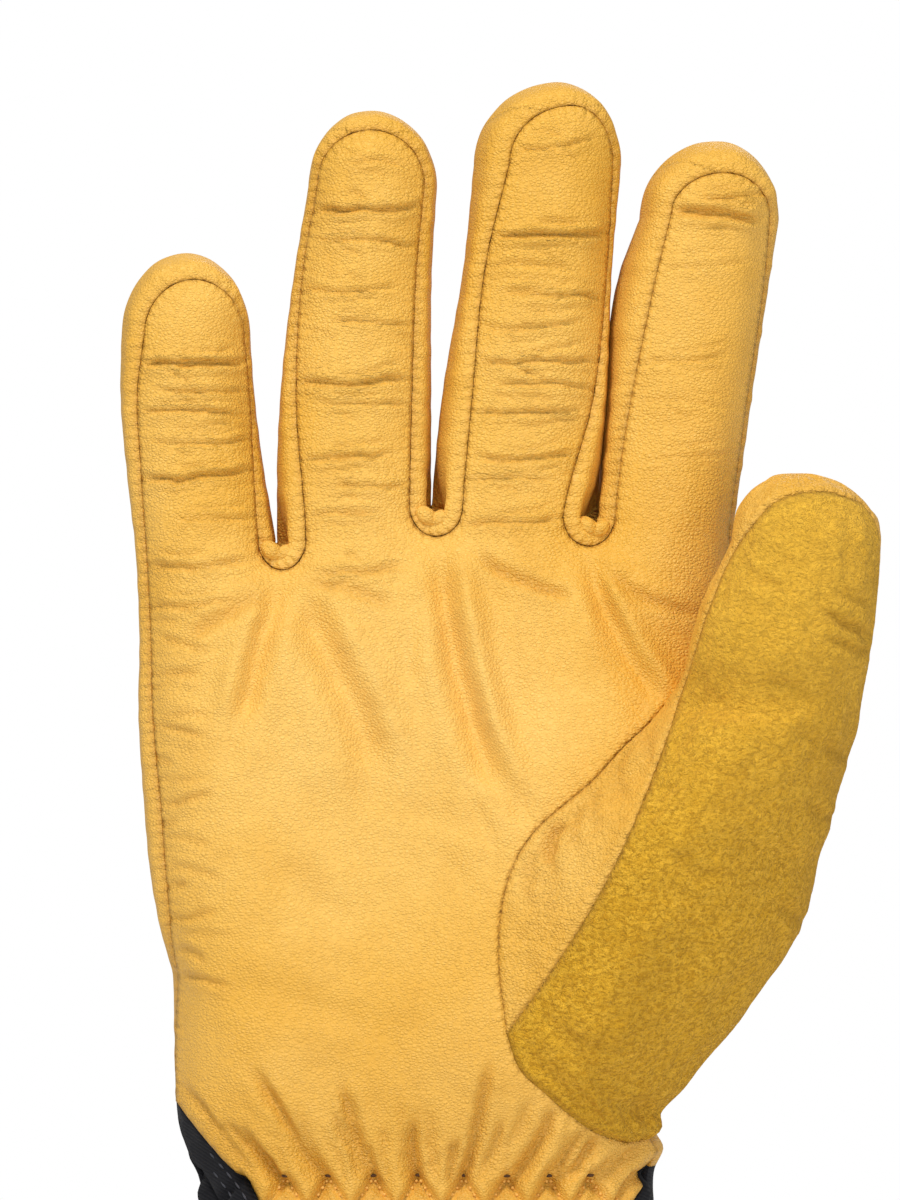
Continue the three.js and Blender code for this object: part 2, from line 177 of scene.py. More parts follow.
def tipRun(f):
    top = f["rows"][-1]
    quarter = np.linspace(0, math.pi / 2, 30)
    out = {}
    lines = (("seam", top[3], top[4], f["seamTop"], 0), ("rim", top[1], top[2], f["tip"], 0),
             ("inner", top[1], top[2], f["tip"], hand["backInset"]))
    for name, left, right, peak, less in lines:
        x0, x1, zTop = left + less, right - less, peak[1] - less
        rise = zTop - top[0]
        up = np.stack([peak[0] - (peak[0] - x0) * np.cos(quarter), top[0] + rise * np.sin(quarter)], 1)
        down = np.stack([peak[0] + (x1 - peak[0]) * np.sin(quarter), top[0] + rise * np.cos(quarter)], 1)
        out[name] = np.concatenate([up, down[1:]])
    return out


def crotchRun(a, b, top):
    turn = np.linspace(0, math.pi, 41)
    out = {}
    depths = {"seam": hand["crotchDepth"], "rim": hand["crotchRim"],
              "inner": hand["crotchRim"] + hand["backInset"]}
    for name, deep in depths.items():
        left, right = a[name][-1], b[name][0]
        x = (left[0] + right[0]) / 2 - (right[0] - left[0]) / 2 * np.cos(turn)
        out[name] = np.stack([x, top - deep * np.sin(turn)], 1)
    return out


def fingerSides(f, leftLow, rightLow):
    z = np.linspace(leftLow, f["rows"][-1][0], 60)
    left = sideRun(z, tableAt(f["rows"], z, 3), tableAt(f["rows"], z, 1), hand["backInset"])
    z = np.linspace(f["rows"][-1][0], rightLow, 60)
    right = sideRun(z, tableAt(f["rows"], z, 4), tableAt(f["rows"], z, 2), -hand["backInset"])
    return left, right


zUp = np.linspace(hand["hem"], fingers["little"]["rows"][-1][0], 220)
leftX = tableAt(hand["left"], zUp)
parts = [sideRun(zUp, leftX + tableAt(hand["leftRoll"], zUp), leftX, hand["backInset"])]
kinds = ["left"]
for i, name in enumerate(fingerOrder):
    f = fingers[name]
    left, right = fingerSides(f, hand["crotchTops"][i - 1], hand["crotchTops"][i])
    if i:
        parts += [crotchRun(parts[-1], left, hand["crotchTops"][i - 1]), left]
        kinds += ["crotch" + str(i), name + "Left"]
    parts.append(tipRun(f))
    kinds.append(name + "Tip")
    parts.append(right)
    kinds.append(name + "Right")
zDown = np.linspace(hand["crotchTops"][-1], hand["hem"], 200)
blend = ease(104, 118, zDown)
rightX = tableAt(hand["right"], zDown) * (1 - blend) + tableAt(fingers["index"]["rows"], zDown, 2) * blend
parts.append(sideRun(zDown, rightX - (1.5 - 0.6 * ease(90, 115, zDown)), rightX, -hand["backInset"]))
kinds.append("right")

columns = {"seam": [], "rim": [], "inner": [], "kind": []}
for part, kind in zip(parts, kinds):        # the same count of columns on all three lines
    seamStep, rimStep = [np.linalg.norm(np.diff(part[k], axis=0), axis=1) for k in ("seam", "rim")]
    count = int(max(seamStep.sum(), rimStep.sum()) / hand["column"])
    run = np.concatenate([[0], np.cumsum(seamStep + 0.4 * rimStep)])
    at = np.linspace(0, run[-1], count + 1)[(0 if not columns["kind"] else 1):]
    for k in ("seam", "rim", "inner"):
        columns[k] += [(np.interp(v, run, part[k][:, 0]), np.interp(v, run, part[k][:, 1])) for v in at]
    columns["kind"] += [kind] * len(at)
seamLine = np.array(columns["seam"])
rimLine = np.array(columns["rim"])
innerLine = np.array(columns["inner"])
columnKind = np.array(columns["kind"])
rollWidth = np.maximum(np.linalg.norm(seamLine - rimLine, axis=1), 0.9)
palmSeam = Seam(seamLine, rollWidth)
backSeam = Seam(innerLine)
print("outlines ready:", len(seamLine), "columns")

# heights: how far the leather stands out in front of and behind the hand's middle

relief = {
    "grainSize": 9.0,                       # slow unevenness of the leather
    "grainDepth": 0.35,
    "hollow": [-5, 62, 20, 1.8],            # x, z, radius, depth of the palm's hollow
    "thenar": 2.6,                          # rise of the palm beside the thumb seam
    "thenarWidth": 16.0,
    "tuck": 0.3,                            # how deep a seam sits
    "thumbTuck": 0.22,
}


def middleY(z):
    return -hand["fingerCurl"] * (np.maximum(z - hand["curlFrom"], 0) / hand["curlOver"]) ** 2


def reachAt(z):                             # how far in from the edge the leather still curves
    return np.minimum(hand["palmRound"], hand["fingerRound"] + 0.55 * np.maximum(125 - z, 0))


thumbSeam = Seam(through([(14.8, 28.4), (14.1, 33.6), (13.5, 38.3), (13.3, 44.4), (14.1, 52.3),
                          (16.7, 60.1), (20.4, 65.4), (25.4, 69.8), (30.6, 74.2), (35.4, 79.4),
                          (40.7, 84.4), (44.2, 88.1)]))
heelSeam = Seam(through([(14.8, 27.9), (17.4, 21.1), (21.8, 17), (27, 12.3), (32.2, 8.9), (36.4, 7.6),
                         (39, 7.4), (41.2, 7.9)]))


def frontY(points):
    points = np.asarray(points, float)
    far, _, width = palmSeam.near(points)
    z = points[:, 1]
    y = middleY(z) - tableAt(hand["frontDepth"], z) * dome((far + width) / reachAt(z))
    x0, z0, radius, depth = relief["hollow"]
    y += depth * hill(np.hypot(points[:, 0] - x0, (z - z0) * 0.8), radius)
    rise = hill(thumbSeam.near(points)[0], relief["thenarWidth"]) * ease(0, 20, z) * (1 - ease(80, 100, z))
    y -= relief["thenar"] * rise
    return y


def backY(points):
    z = points[:, 1]
    far = backSeam.near(points)[0] + hand["backInset"]
    return middleY(z) + tableAt(hand["frontDepth"], z) * dome(far / reachAt(z))


def creaseField(points, creases):           # a crease is x0, z0, x1, z1, half width, depth, bow
    lift = np.zeros(len(points))
    shade = np.zeros(len(points))
    zone = np.zeros(len(points))
    wobble = 0.9 * roughly(points, 7.0, 2.2) + 0.5 * roughly(points, 2.6, 5.2)
    for x0, z0, x1, z1, wide, deep, bow in creases:
        wayX, wayZ = x1 - x0, z1 - z0
        length = math.hypot(wayX, wayZ)
        along = ((points[:, 0] - x0) * wayX + (points[:, 1] - z0) * wayZ) / length ** 2
        side = ((points[:, 0] - x0) * wayZ - (points[:, 1] - z0) * wayX) / length
        side = side - bow * 4 * along * (1 - along)
        fine = wide < 1.3                   # a line, where a wider one is a soft fold
        side = side + wobble * (0.8 if fine else 0.3)
        fade = ease(-0.1, 0.2, along) * (1 - ease(0.8, 1.1, along))
        trough = hill(side, wide) * fade
        banks = hill(side - 2.2 * wide, 1.3 * wide) + hill(side + 2.2 * wide, 1.3 * wide)
        lift += deep * (0.4 * banks * fade - trough)
        shade = np.maximum(shade, trough * min(1.0, deep) * (1 if fine else 0.12))
        zone = np.maximum(zone, hill(side, 2.6) * fade * min(1.0, deep) * max(0.0, min(1.0, 1.5 - wide)))
    return lift, shade, zone


fingerCreases = {                           # height, depth, tilt, from and to across the finger, half width
    "little": [[151.4, 1.1, 0.8, 0, 1, 0.9], [146.3, 0.6, 0.4, 0.2, 1, 0.8], [141.7, 0.7, -0.5, 0, 0.9, 0.8],
               [136.9, 0.5, 0.4, 0.1, 1, 0.8], [130.4, 0.9, 2.6, 0, 1, 0.9], [122.5, 0.4, 0.6, 0.3, 1, 0.8],
               [114.1, 0.6, 1.2, 0, 0.9, 1.0], [106.7, 0.5, 1.6, 0, 0.7, 1.0]],
    "ring": [[187.6, 0.4, -0.6, 0.3, 0.8, 0.7], [179.5, 0.9, 0.6, 0, 1, 0.9], [173, 0.6, -0.6, 0.1, 1, 0.8],
             [164.7, 0.5, 0.6, 0, 0.8, 0.8], [158.2, 0.5, -0.4, 0.3, 1, 0.8], [148, 0.8, 0.8, 0, 1, 0.9],
             [143.4, 0.5, -0.6, 0.2, 1, 0.7], [134.1, 0.6, 0.6, 0, 0.8, 0.8], [128.2, 0.5, -0.4, 0.3, 1, 0.8],
             [123.6, 0.5, 0.8, 0, 0.7, 0.8], [112.9, 0.6, 0.6, 0.1, 0.9, 1.0]],
    "middle": [[191.3, 0.5, 3.0, 0.1, 0.8, 0.7], [175, 1.1, 0.8, 0, 1, 0.9],
               [168.5, 0.4, -0.6, 0, 0.7, 0.8], [163.2, 0.6, -0.5, 0.2, 1, 0.8],
               [158.2, 0.5, 0.5, 0, 0.8, 0.8], [151.7, 0.7, 0.8, 0, 1, 0.8],
               [146.7, 0.6, -0.6, 0.2, 1, 0.8], [142.3, 0.6, 0.4, 0, 0.9, 0.7],
               [133.9, 0.6, 0.8, 0.1, 1, 0.9], [129.5, 0.5, -0.4, 0, 0.8, 0.7],
               [122.1, 0.6, 0.8, 0, 1, 0.8]],
    "index": [[178, 1.2, -1.6, 0, 0.85, 1.1], [182, 0.6, 1.6, 0.35, 1, 0.8],
              [169.5, 0.25, 0.8, 0, 0.8, 0.8], [152, 0.35, 0.8, 0, 0.7, 0.9],
              [143.5, 0.2, -1.0, 0.1, 0.8, 0.9], [134, 0.2, 0.8, 0.2, 0.9, 0.9]],
}
palmCreases = [
    [2.5, 116, 12.8, 72, 2.1, 1.9, 1.6], [6.6, 115, 17.4, 73, 2.2, -1.7, 1.6],
    [-30, 109, -36.8, 86, 1.8, -0.8, 0.4], [-19, 109, -4, 78, 2.4, -0.9, -1.0],
    [33, 112, 46, 90, 1.6, -0.9, 1.0], [-27, 111, -33.3, 86, 2.0, 1.7, 0.4],
    [-24, 109, -8.4, 74, 3.2, 1.9, -1.0], [29.7, 115, 43.2, 88.6, 1.8, 1.8, 1.0],
    [10, 115.6, 26.6, 107.8, 1.0, 1.0, 1.2], [33, 113, 50, 104, 1.1, 0.8, 1.0],
    [-1, 109, -3.5, 92, 2.0, 0.7, 0.6], [-29, 108, -44, 100, 1.2, 0.8, 0.8],
    [-22, 111, -6, 106, 1.0, 0.7, -0.8], [12, 84, 18, 66, 2.2, 0.8, -0.6],
    [31, 106, 44, 82, 2.0, 0.9, 1.6], [-33, 90, -36, 76, 1.8, 0.5, 0.4], [12.8, 60, 7, 74, 1.6, 0.5, 0.6],
    [9, 52, 2, 62, 1.4, 0.35, 0.5], [-16, 74, 14, 66, 2.6, 0.45, 1.5], [-30, 60, -12, 48, 2.8, 0.5, 1.2],
    [-36, 36, -8, 28, 2.6, 0.5, -1.2],
]
for i in range(17):                         # short lines that run in from the outer side of the hand
    z = 103 - 4.1 * i + 0.8 * math.sin(i * 2.7)
    x = float(tableAt(hand["left"], z)) + 2.6 + 1.5 * math.sin(i * 1.9)
    lean = 2.4 * math.sin(i * 1.3 + 0.5)
    palmCreases.append([x, z + lean / 2, x + 5 + 5.5 * abs(math.sin(i * 2.1)), z - lean / 2, 0.7,
                        0.28 + 0.3 * abs(math.sin(i * 0.9)), 0.5 * math.sin(i * 1.1)])
for name, rows in fingerCreases.items():
    for z, deep, tilt, start, end, wide in rows:
        left = float(tableAt(fingers[name]["rows"], z, 3))
        right = float(tableAt(fingers[name]["rows"], z, 4))
        across = right - left
        palmCreases.append([left + across * start - 0.8, z - tilt / 2,
                            left + across * end + 0.8, z + tilt / 2,
                            wide * 0.6, deep * 1.2, (0.5 if tilt > 0 else -0.5)])
        for j in (-1, 1):                   # finer lines beside each main one
            way = math.sin(z * 1.7 + j)
            from0 = left + across * (0.08 + 0.3 * abs(math.sin(z * 0.9 + j)))
            palmCreases.append([from0, z + j * 1.9 - way * 1.1,
                                from0 + across * (0.4 + 0.2 * way), z + j * 2.1 + way * 1.2,
                                0.42, 0.4 * min(1.0, deep + 0.3), 0.5 * way])

wrist = {
    "fan": 0.036,                           # how fast the gathers spread going up
    "peaks": [-42.3, -34, -25.8, -17.8, -9.7, -1.3, 7, 14.8, 22.6, 30.2, 38],
    "bandTop": 0.9,
    "bandDepth": 6.0,                       # height of the zigzag
    "pleat": 1.25,                          # depth of a gather
    "bandSlant": 0.56,                      # turns a height above its slanting limbs into a distance
    "grooveWidth": 0.7,
    "groove": 1.3,                          # how deep the thread pulls the leather in
    "puff": 0.9,
    "sewnFrom": -27,                        # the zigzag is sewn on the leather between these
    "sewnTo": 36,
}
peakX = np.array(wrist["peaks"])


def pleatField(points):                     # soft gathers that fan up from the zigzag's peaks
    x, z = points[:, 0], points[:, 1]
    spread = 1 + wrist["fan"] * np.maximum(z, 0)
    bent = x / spread + 0.6 * np.sin(z * 0.33 + x * 0.21)
    phase = np.interp(bent, peakX, np.arange(len(peakX)))
    wave = np.cos(2 * math.pi * phase)      # 1 at a peak: the bottom of a fold
    size = wrist["pleat"] * np.where(z > 0, np.exp(-np.maximum(z, 0) / (8 + 3 * np.sin(phase * 5.1))), 1.0)
    size *= 1 - 0.35 * ease(-12, -30, z)
    size *= 1 - 0.85 * ease(30, 40, np.abs(x)) * ease(-16, -8, z)
    bottom = np.maximum(wave, 0)
    return -size * (0.65 * wave + 0.35 * bottom ** 3), bottom ** 2 * size / wrist["pleat"]


def gatherCreases():                        # a few sharp folds running up from each peak
    rows = []
    folds = ((0, 17, 1.0, 1.5), (1.9, 11, 0.8, 0.8), (-2.1, 13, 0.8, 0.8), (3.9, 8, 0.7, 0.5))
    for k, x in enumerate(peakX):
        for j, (shift, tall, wide, deep) in enumerate(folds):
            tall = tall * (1 + 0.35 * math.sin(k * 2.3 + j * 1.7))
            low = 0.6 if j == 0 else 1.5 + 1.2 * abs(math.sin(k * 1.3 + j))
            start = x + shift
            end = start * (1 + wrist["fan"] * tall) + 1.2 * math.sin(k * 1.9 + j * 2.6)
            rows.append([start * (1 + wrist["fan"] * low), low - 2.0, end, tall, wide,
                         deep * (0.8 + 0.3 * math.sin(k * 3.1 + j)), 0.8 * math.sin(k + j * 2.2)])
    return rows


def zigzagBelow(points):                    # how far a point lies under the zigzag stitching
    x, z = points[:, 0], points[:, 1]
    phase = np.interp(x, peakX, np.arange(len(peakX)))
    half = np.abs(phase - np.round(phase)) * 2
    lineZ = wrist["bandTop"] - wrist["bandDepth"] * half
    return (lineZ - z) * wrist["bandSlant"]


def zigzagFar(points):
    return np.abs(zigzagBelow(points))


def puffField(points):                      # leather swelling between the zigzag's limbs
    below = zigzagBelow(points)
    swell = 1.5 * ease(0, 1.2, below) + 0.5 * ease(0.2, 2, -below)
    return wrist["puff"] * swell * hill(points[:, 1] + 3.2, 4.2)


palmCreases += gatherCreases()


def grain(points, seed=0.0):
    return relief["grainDepth"] * (roughly(points, relief["grainSize"], seed)
                                   + 0.5 * roughly(points, relief["grainSize"] * 0.45, seed + 3.1))


print("heights ready")

# meshes


def isInside(points, outline):              # which points lie in a closed outline
    a = outline
    b = np.roll(outline, -1, axis=0)
    rise = np.where(np.abs(b[:, 1] - a[:, 1]) < 1e-12, 1e-12, b[:, 1] - a[:, 1])
    out = np.zeros(len(points), bool)
    for i in range(0, len(points), 2000):
        x, z = points[i:i + 2000, 0, None], points[i:i + 2000, 1, None]
        spans = (a[None, :, 1] > z) != (b[None, :, 1] > z)
        cross = a[None, :, 0] + (z - a[None, :, 1]) * ((b - a)[None, :, 0] / rise[None, :])
        out[i:i + 2000] = (spans & (x < cross)).sum(1) % 2 == 1
    return out


def flatPanel(outline, spacing):            # points and triangles filling a closed outline
    outline = np.asarray(outline, float)
    keep = [0]
    for i in range(1, len(outline)):
        if np.linalg.norm(outline[i] - outline[keep[-1]]) > 0.02:
            keep.append(i)
    outline = outline[keep]
    if np.linalg.norm(outline[0] - outline[-1]) < 0.02:
        outline = outline[:-1]
    low, high = outline.min(0), outline.max(0)
    rows = np.arange(low[1], high[1], spacing * 0.866)
    grid = np.array([(x + (spacing / 2 if k % 2 else 0), z) for k, z in enumerate(rows)
                     for x in np.arange(low[0], high[0], spacing)])
    grid = grid[isInside(grid, outline)]
    edge = evenly(np.vstack([outline, outline[:1]]), spacing * 0.6)
    grid = grid[Seam(edge).near(grid)[0] > spacing * 0.5]
    count = len(outline)
    verts = [Vector(p) for p in np.vstack([outline, grid])]
    edges = [(i, (i + 1) % count) for i in range(count)]
    out = geometry.delaunay_2d_cdt(verts, edges, [], 1, 1e-5, False)
    points = np.array([(v.x, v.y) for v in out[0]])
    faces = np.array([f for f in out[2] if len(f) == 3])
    middle = points[faces].mean(1)
    a, b, c = points[faces[:, 0]], points[faces[:, 1]], points[faces[:, 2]]
    size = np.max([np.linalg.norm(way, axis=1) for way in (a - b, b - c, c - a)], axis=0)
    doubtful = (size > spacing * 1.3) | (faces < count).all(1)
    good = np.ones(len(faces), bool)
    good[doubtful] = isInside(middle[doubtful], outline)
    faces = faces[good]
    used = np.unique(faces)
    place = np.full(len(points), -1)
    place[used] = np.arange(len(used))
    return points[used], place[faces]


def normalsOf(points, faces):
    a, b, c = points[faces[:, 0]], points[faces[:, 1]], points[faces[:, 2]]
    flat = np.cross(b - a, c - a)
    out = np.zeros_like(points)
    for k in range(3):
        np.add.at(out, faces[:, k], flat)
    return out / np.maximum(np.linalg.norm(out, axis=1), 1e-12)[:, None]


def facing(points, faces, way):             # turns the faces so that most look along way
    a, b, c = points[faces[:, 0]], points[faces[:, 1]], points[faces[:, 2]]
    if (np.cross(b - a, c - a) @ np.asarray(way, float)).sum() < 0:
        return faces[:, ::-1]
    return faces


def soften(points, faces, values, times):   # evens values over neighbours, with the edge held
    links = np.concatenate([faces[:, [0, 1]], faces[:, [1, 2]], faces[:, [2, 0]]])
    pairs = np.sort(links, axis=1)
    unique, counts = np.unique(pairs, axis=0, return_counts=True)
    held = np.zeros(len(points), bool)
    held[unique[counts == 1].ravel()] = True
    number = np.bincount(unique.ravel(), minlength=len(points))
    values = values.copy()
    for _ in range(times):
        total = np.zeros(len(points))
        np.add.at(total, unique[:, 0], values[unique[:, 1]])
        np.add.at(total, unique[:, 1], values[unique[:, 0]])
        values = np.where(held, values, 0.4 * values + 0.6 * total / np.maximum(number, 1))
    return values


def joinUp(*pieces):                        # (points, faces, fields) together, close points merged
    points = np.concatenate([p[0] for p in pieces])
    offset = np.cumsum([0] + [len(p[0]) for p in pieces])
    faces = np.concatenate([p[1] + offset[i] for i, p in enumerate(pieces)])
    fields = {k: np.concatenate([p[2][k] for p in pieces]) for k in pieces[0][2]}
    keys = np.round(points / 0.02).astype(np.int64)
    _, first, back = np.unique(keys, axis=0, return_index=True, return_inverse=True)
    back = back.ravel()
    faces = back[faces]
    faces = faces[(faces[:, 0] != faces[:, 1]) & (faces[:, 1] != faces[:, 2]) & (faces[:, 0] != faces[:, 2])]
    return points[first], faces, {k: v[first] for k, v in fields.items()}


leatherThick = 1.3
suedeThick = 1.6


def addPiece(name, points, faces, fields, material, slot, nodes, thickness=leatherThick):
    mesh = bpy.data.meshes.new(name)
    mesh.from_pydata((points * mm).tolist(), [], faces.tolist())
    mesh.polygons.foreach_set("use_smooth", np.ones(len(faces), bool))
    for key, values in fields.items():
        layer = mesh.attributes.new(key, "FLOAT", "POINT")
        layer.data.foreach_set("value", np.asarray(values, np.float32))
    mesh.materials.append(material)
    piece = bpy.data.objects.new(name, mesh)
    bpy.context.scene.collection.objects.link(piece)
    if thickness:
        thick = piece.modifiers.new("thickness", "SOLIDIFY")
        thick.thickness = thickness * mm
        thick.offset = -1
        thick.use_even_offset = False
    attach(piece, "root")
    if nodes:
        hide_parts(*nodes)
    a, b, c = points[faces[:, 0]], points[faces[:, 1]], points[faces[:, 2]]
    area = np.linalg.norm(np.cross(b - a, c - a), axis=1).sum() / 2 * mm * mm
    print(name, len(points), "points,", len(faces), "triangles,", round(area, 5), "square metres")
    return piece


def inSpace(flat, y):
    return np.stack([flat[:, 0], y, flat[:, 1]], 1)


# panels of the hand

cuffTop = {"left": 14.4, "right": 1.7}      # how high the dark panel reaches at each side
edgeLeft = through([(-46, cuffTop["left"]), (-39, 6.1), (-31.2, -3.5), (-27.5, -14), (-26, -30), (-26, -40)])
edgeRight = through([(41.1, cuffTop["right"]), (39.9, -0.6), (37.7, -3.7), (30.5, -14), (28, -30), (28, -40)])
cuffEdges = [Seam(edgeLeft), Seam(edgeRight)]


def columnsWhere(kind, low, high):
    keep = (columnKind == kind) & (seamLine[:, 1] > low) & (seamLine[:, 1] < high)
    return seamLine[keep]


firstUp = int(np.argmax(seamLine[:, 1] > cuffTop["left"]))
thumbFoot, thumbJoin = 9.8, 84              # heights between which the thumb covers the hand's side
lastDown = int(np.max(np.nonzero((columnKind == "right") & (seamLine[:, 1] > thumbJoin))[0]))
palmOutline = np.concatenate([
    seamLine[firstUp:lastDown + 1], [(50, 83.5)], thumbSeam.line[thumbSeam.line[:, 1] > 28.2][::-1],
    heelSeam.line[:-1], columnsWhere("right", cuffTop["right"] + 0.1, 8.4), edgeRight[1:], edgeLeft[1:][::-1],
])


def puckerSize(far, next=99.0):             # how much the stitches pucker the leather; none between two seams
    return np.exp(-0.45 * np.square(far)) * ease(0.6, 1.8, next - far)


def frontDetail(flat, faces, y, creases=()):
    edges = [palmSeam.near(flat), thumbSeam.near(flat), heelSeam.near(flat)]
    far = np.min([e[0] for e in edges] + [c.near(flat)[0] for c in cuffEdges], axis=0)
    run = np.choose(np.argmin([e[0] for e in edges], axis=0), [e[1] for e in edges])
    nearest = np.sort([e[0] for e in edges], axis=0)
    y = soften(flat, faces, y, 30)
    points = inSpace(flat, y)
    faces = facing(points, faces, (0, -1, 0))
    normals = normalsOf(points, faces)
    lift, fold, zone = creaseField(flat, creases)
    gather, gatherFold = pleatField(flat)
    stitch = hill(zigzagFar(flat), wrist["grooveWidth"])
    beside = ease(0.3, 3.0, far)
    byThumb = hill(np.minimum(edges[1][0], edges[2][0]), 2.5)
    lift = lift * (0.35 * (1 - byThumb) + 0.65 * beside) + gather * (1 - byThumb)
    lift = lift + puffField(flat) - wrist["groove"] * stitch + grain(flat) * beside
    points[:, 1] += (relief["tuck"] * (1 - byThumb) + relief["thumbTuck"] * byThumb) * np.exp(-far / 0.6)
    # painted shade: the fold field darkens the creases, the bottoms of the gathers and the zigzag's groove
    fields = {"seamFar": far, "seamRun": run, "sewn": puckerSize(nearest[0], nearest[1]),
              "fold": np.clip(fold + 0.8 * gatherFold + 0.5 * stitch, 0, 1.5),
              "wrinkle": np.clip(zone + 0.4 * gatherFold, 0, 1)}
    return points + normals * lift[:, None], faces, fields


def palmPiece():
    flat, faces = flatPanel(palmOutline, 0.7)
    return frontDetail(flat, faces, frontY(flat), palmCreases)


palmMesh = palmPiece()
print("palm ready", len(palmMesh[0]))

# the strip that turns from the palm seam round to the back

strip = {                                   # rows are shares of the way: seam to rim, then rim to the back
    "frontRows": [1, 0.93, 0.86, 0.78, 0.7, 0.61, 0.52, 0.43, 0.34, 0.25, 0.17, 0.1, 0.05, 0.015, 0],
    "backRows": [0.02, 0.07, 0.16, 0.3, 0.5, 0.75, 1],
    "roll": 1.05,                           # how proud the rolled edge beside a seam stands
    "crotchRoll": 1.5,
    "crotchSink": 2.6,                      # how far the strip drops behind the roll there
    "shoulder": 12.0,                       # run over which a fourchette narrows to nothing at a fingertip
    "indexBack": 2.6,                       # the index lies behind the middle finger
    "middleForward": 1.2,
    "rippleLength": (6.3, 4.1),
    "ripple": 0.10,
    "hiddenRows": 8,                        # rows that the thumb covers
}
innerSide = np.array([k.startswith("crotch") or (k.endswith("Left") and k != "littleLeft")
                      or (k.endswith("Right") and k != "indexRight") for k in columnKind])
isCrotch = np.array([k.startswith("crotch") for k in columnKind])
rowCount = len(strip["frontRows"]) + len(strip["backRows"])
runSeam = palmSeam.run


def evened(values, count):                  # a running mean along the strip
    return np.convolve(np.pad(values, count // 2, "edge"), np.ones(count) / count, "valid")


def stripGrid():
    flat, far = [], []
    for f in strip["frontRows"]:
        flat.append(rimLine + (seamLine - rimLine) * f)
        far.append(-rollWidth * f)
    for v in strip["backRows"]:
        flat.append(rimLine + (innerLine - rimLine) * v)
        far.append(hand["backInset"] * v * np.ones(len(rollWidth)))
    flat = np.array(flat)
    far = np.array(far)
    z = flat[:, :, 1]
    depth = tableAt(hand["frontDepth"], z)
    height = depth * dome(np.abs(far) / reachAt(z))
    y = middleY(z) + np.where(far <= 0, -height, height)
    back = (np.where(columnKind == "indexLeft", strip["indexBack"], 0)
            - np.where(columnKind == "middleRight", strip["middleForward"], 0))
    towards = np.where(far <= 0, -far / rollWidth, far / hand["backInset"])
    y += evened(back, 17)[None, :] * np.clip(1 - towards, 0, 1)
    gap = frontY(seamLine) - y[0]           # the strip meets the palm's height at the seam
    y += gap[None, :] * np.where(far <= 0, np.clip(-far / rollWidth, 0, 1), 0)
    return np.stack([flat[:, :, 0], y, z], 2), far


gridPoints, gridFar = stripGrid()
alongWay = np.gradient(gridPoints, axis=1)
acrossWay = np.gradient(gridPoints, axis=0)
gridNormals = np.cross(acrossWay, alongWay)
gridNormals /= np.maximum(np.linalg.norm(gridNormals, axis=2), 1e-9)[:, :, None]
if gridNormals[0, :, 1].sum() > 0:          # beside the palm they look forward
    gridNormals = -gridNormals
rollRow = rollWidth[None, :]
outFrom = np.clip(gridFar + rollRow, 0, None)       # distance out from the palm seam
rollSize = strip["roll"] * np.clip(rollWidth / 3.2, 0, 1)
rollSize += np.where(isCrotch, strip["crotchRoll"] - strip["roll"], 0)
rollSize *= np.where(columnKind == "left", ease(38, 46, seamLine[:, 1]), 1)
rollSize *= np.where(columnKind == "right", ease(60, 90, seamLine[:, 1]), 1)
rollSize = evened(rollSize, 9)
rollTop = outFrom - 0.45 * rollRow          # distance from the roll's top line
stripLift = rollSize[None, :] * hill(rollTop, 0.32 * rollRow)
window = np.hanning(37)
nearCrotch = np.convolve(np.pad(isCrotch.astype(float), 18, "edge"), window / window.sum(), "valid")
sink = strip["crotchSink"] * np.clip(nearCrotch * 1.6, 0, 1)
stripLift -= sink[None, :] * ease(2.2, 3.9, outFrom) * (gridFar <= 0)
slowRipple, fastRipple = [2 * math.pi / length for length in strip["rippleLength"]]
ripple = np.cos(runSeam * slowRipple) + 0.6 * np.cos(runSeam * fastRipple + 1.3)
stripLift += strip["ripple"] * ripple[None, :] * hill(rollTop, 0.5 * rollRow)
lowFlat = np.stack([gridPoints[:, :, 0].ravel(), gridPoints[:, :, 2].ravel()], 1)
gather, gatherFold = pleatField(lowFlat)
onWrist = 1 - ease(14, 24, gridPoints[:, :, 2])
onWrist *= 1 - hill(heelSeam.near(lowFlat)[0], 2.5).reshape(onWrist.shape)
stripLift += gather.reshape(stripLift.shape) * onWrist
gridPoints = gridPoints + gridNormals * stripLift[:, :, None]
gridPoints[:, :, 1] += relief["tuck"] * np.exp(-outFrom / 0.5)
# painted shade: darker at the bottoms of the gathers and right beside the palm seam
stripFold = np.clip(gatherFold.reshape(stripLift.shape) * onWrist * 0.8 + hill(outFrom, 0.6), 0, 1.5)
innerFade = np.where(innerSide, 1.0, 0.0)
splitRow = np.where(innerSide, rowCount - 1, 0).astype(float)
for i in range(len(columnKind)):            # a fourchette tapers away round each fingertip
    if columnKind[i].endswith("Tip"):
        name = columnKind[i][:-3]
        same = np.nonzero(columnKind == columnKind[i])[0]
        fromLeft = runSeam[i] - runSeam[same[0]]
        fromRight = runSeam[same[-1]] - runSeam[i]
        size = 0
        if name != "little":
            size = max(size, 1 - fromLeft / strip["shoulder"])
        if name != "index":
            size = max(size, 1 - fromRight / strip["shoulder"])
        splitRow[i] = (rowCount - 1) * max(0, size)
        innerFade[i] = max(0, size)
splitRow = np.round(splitRow).astype(int)


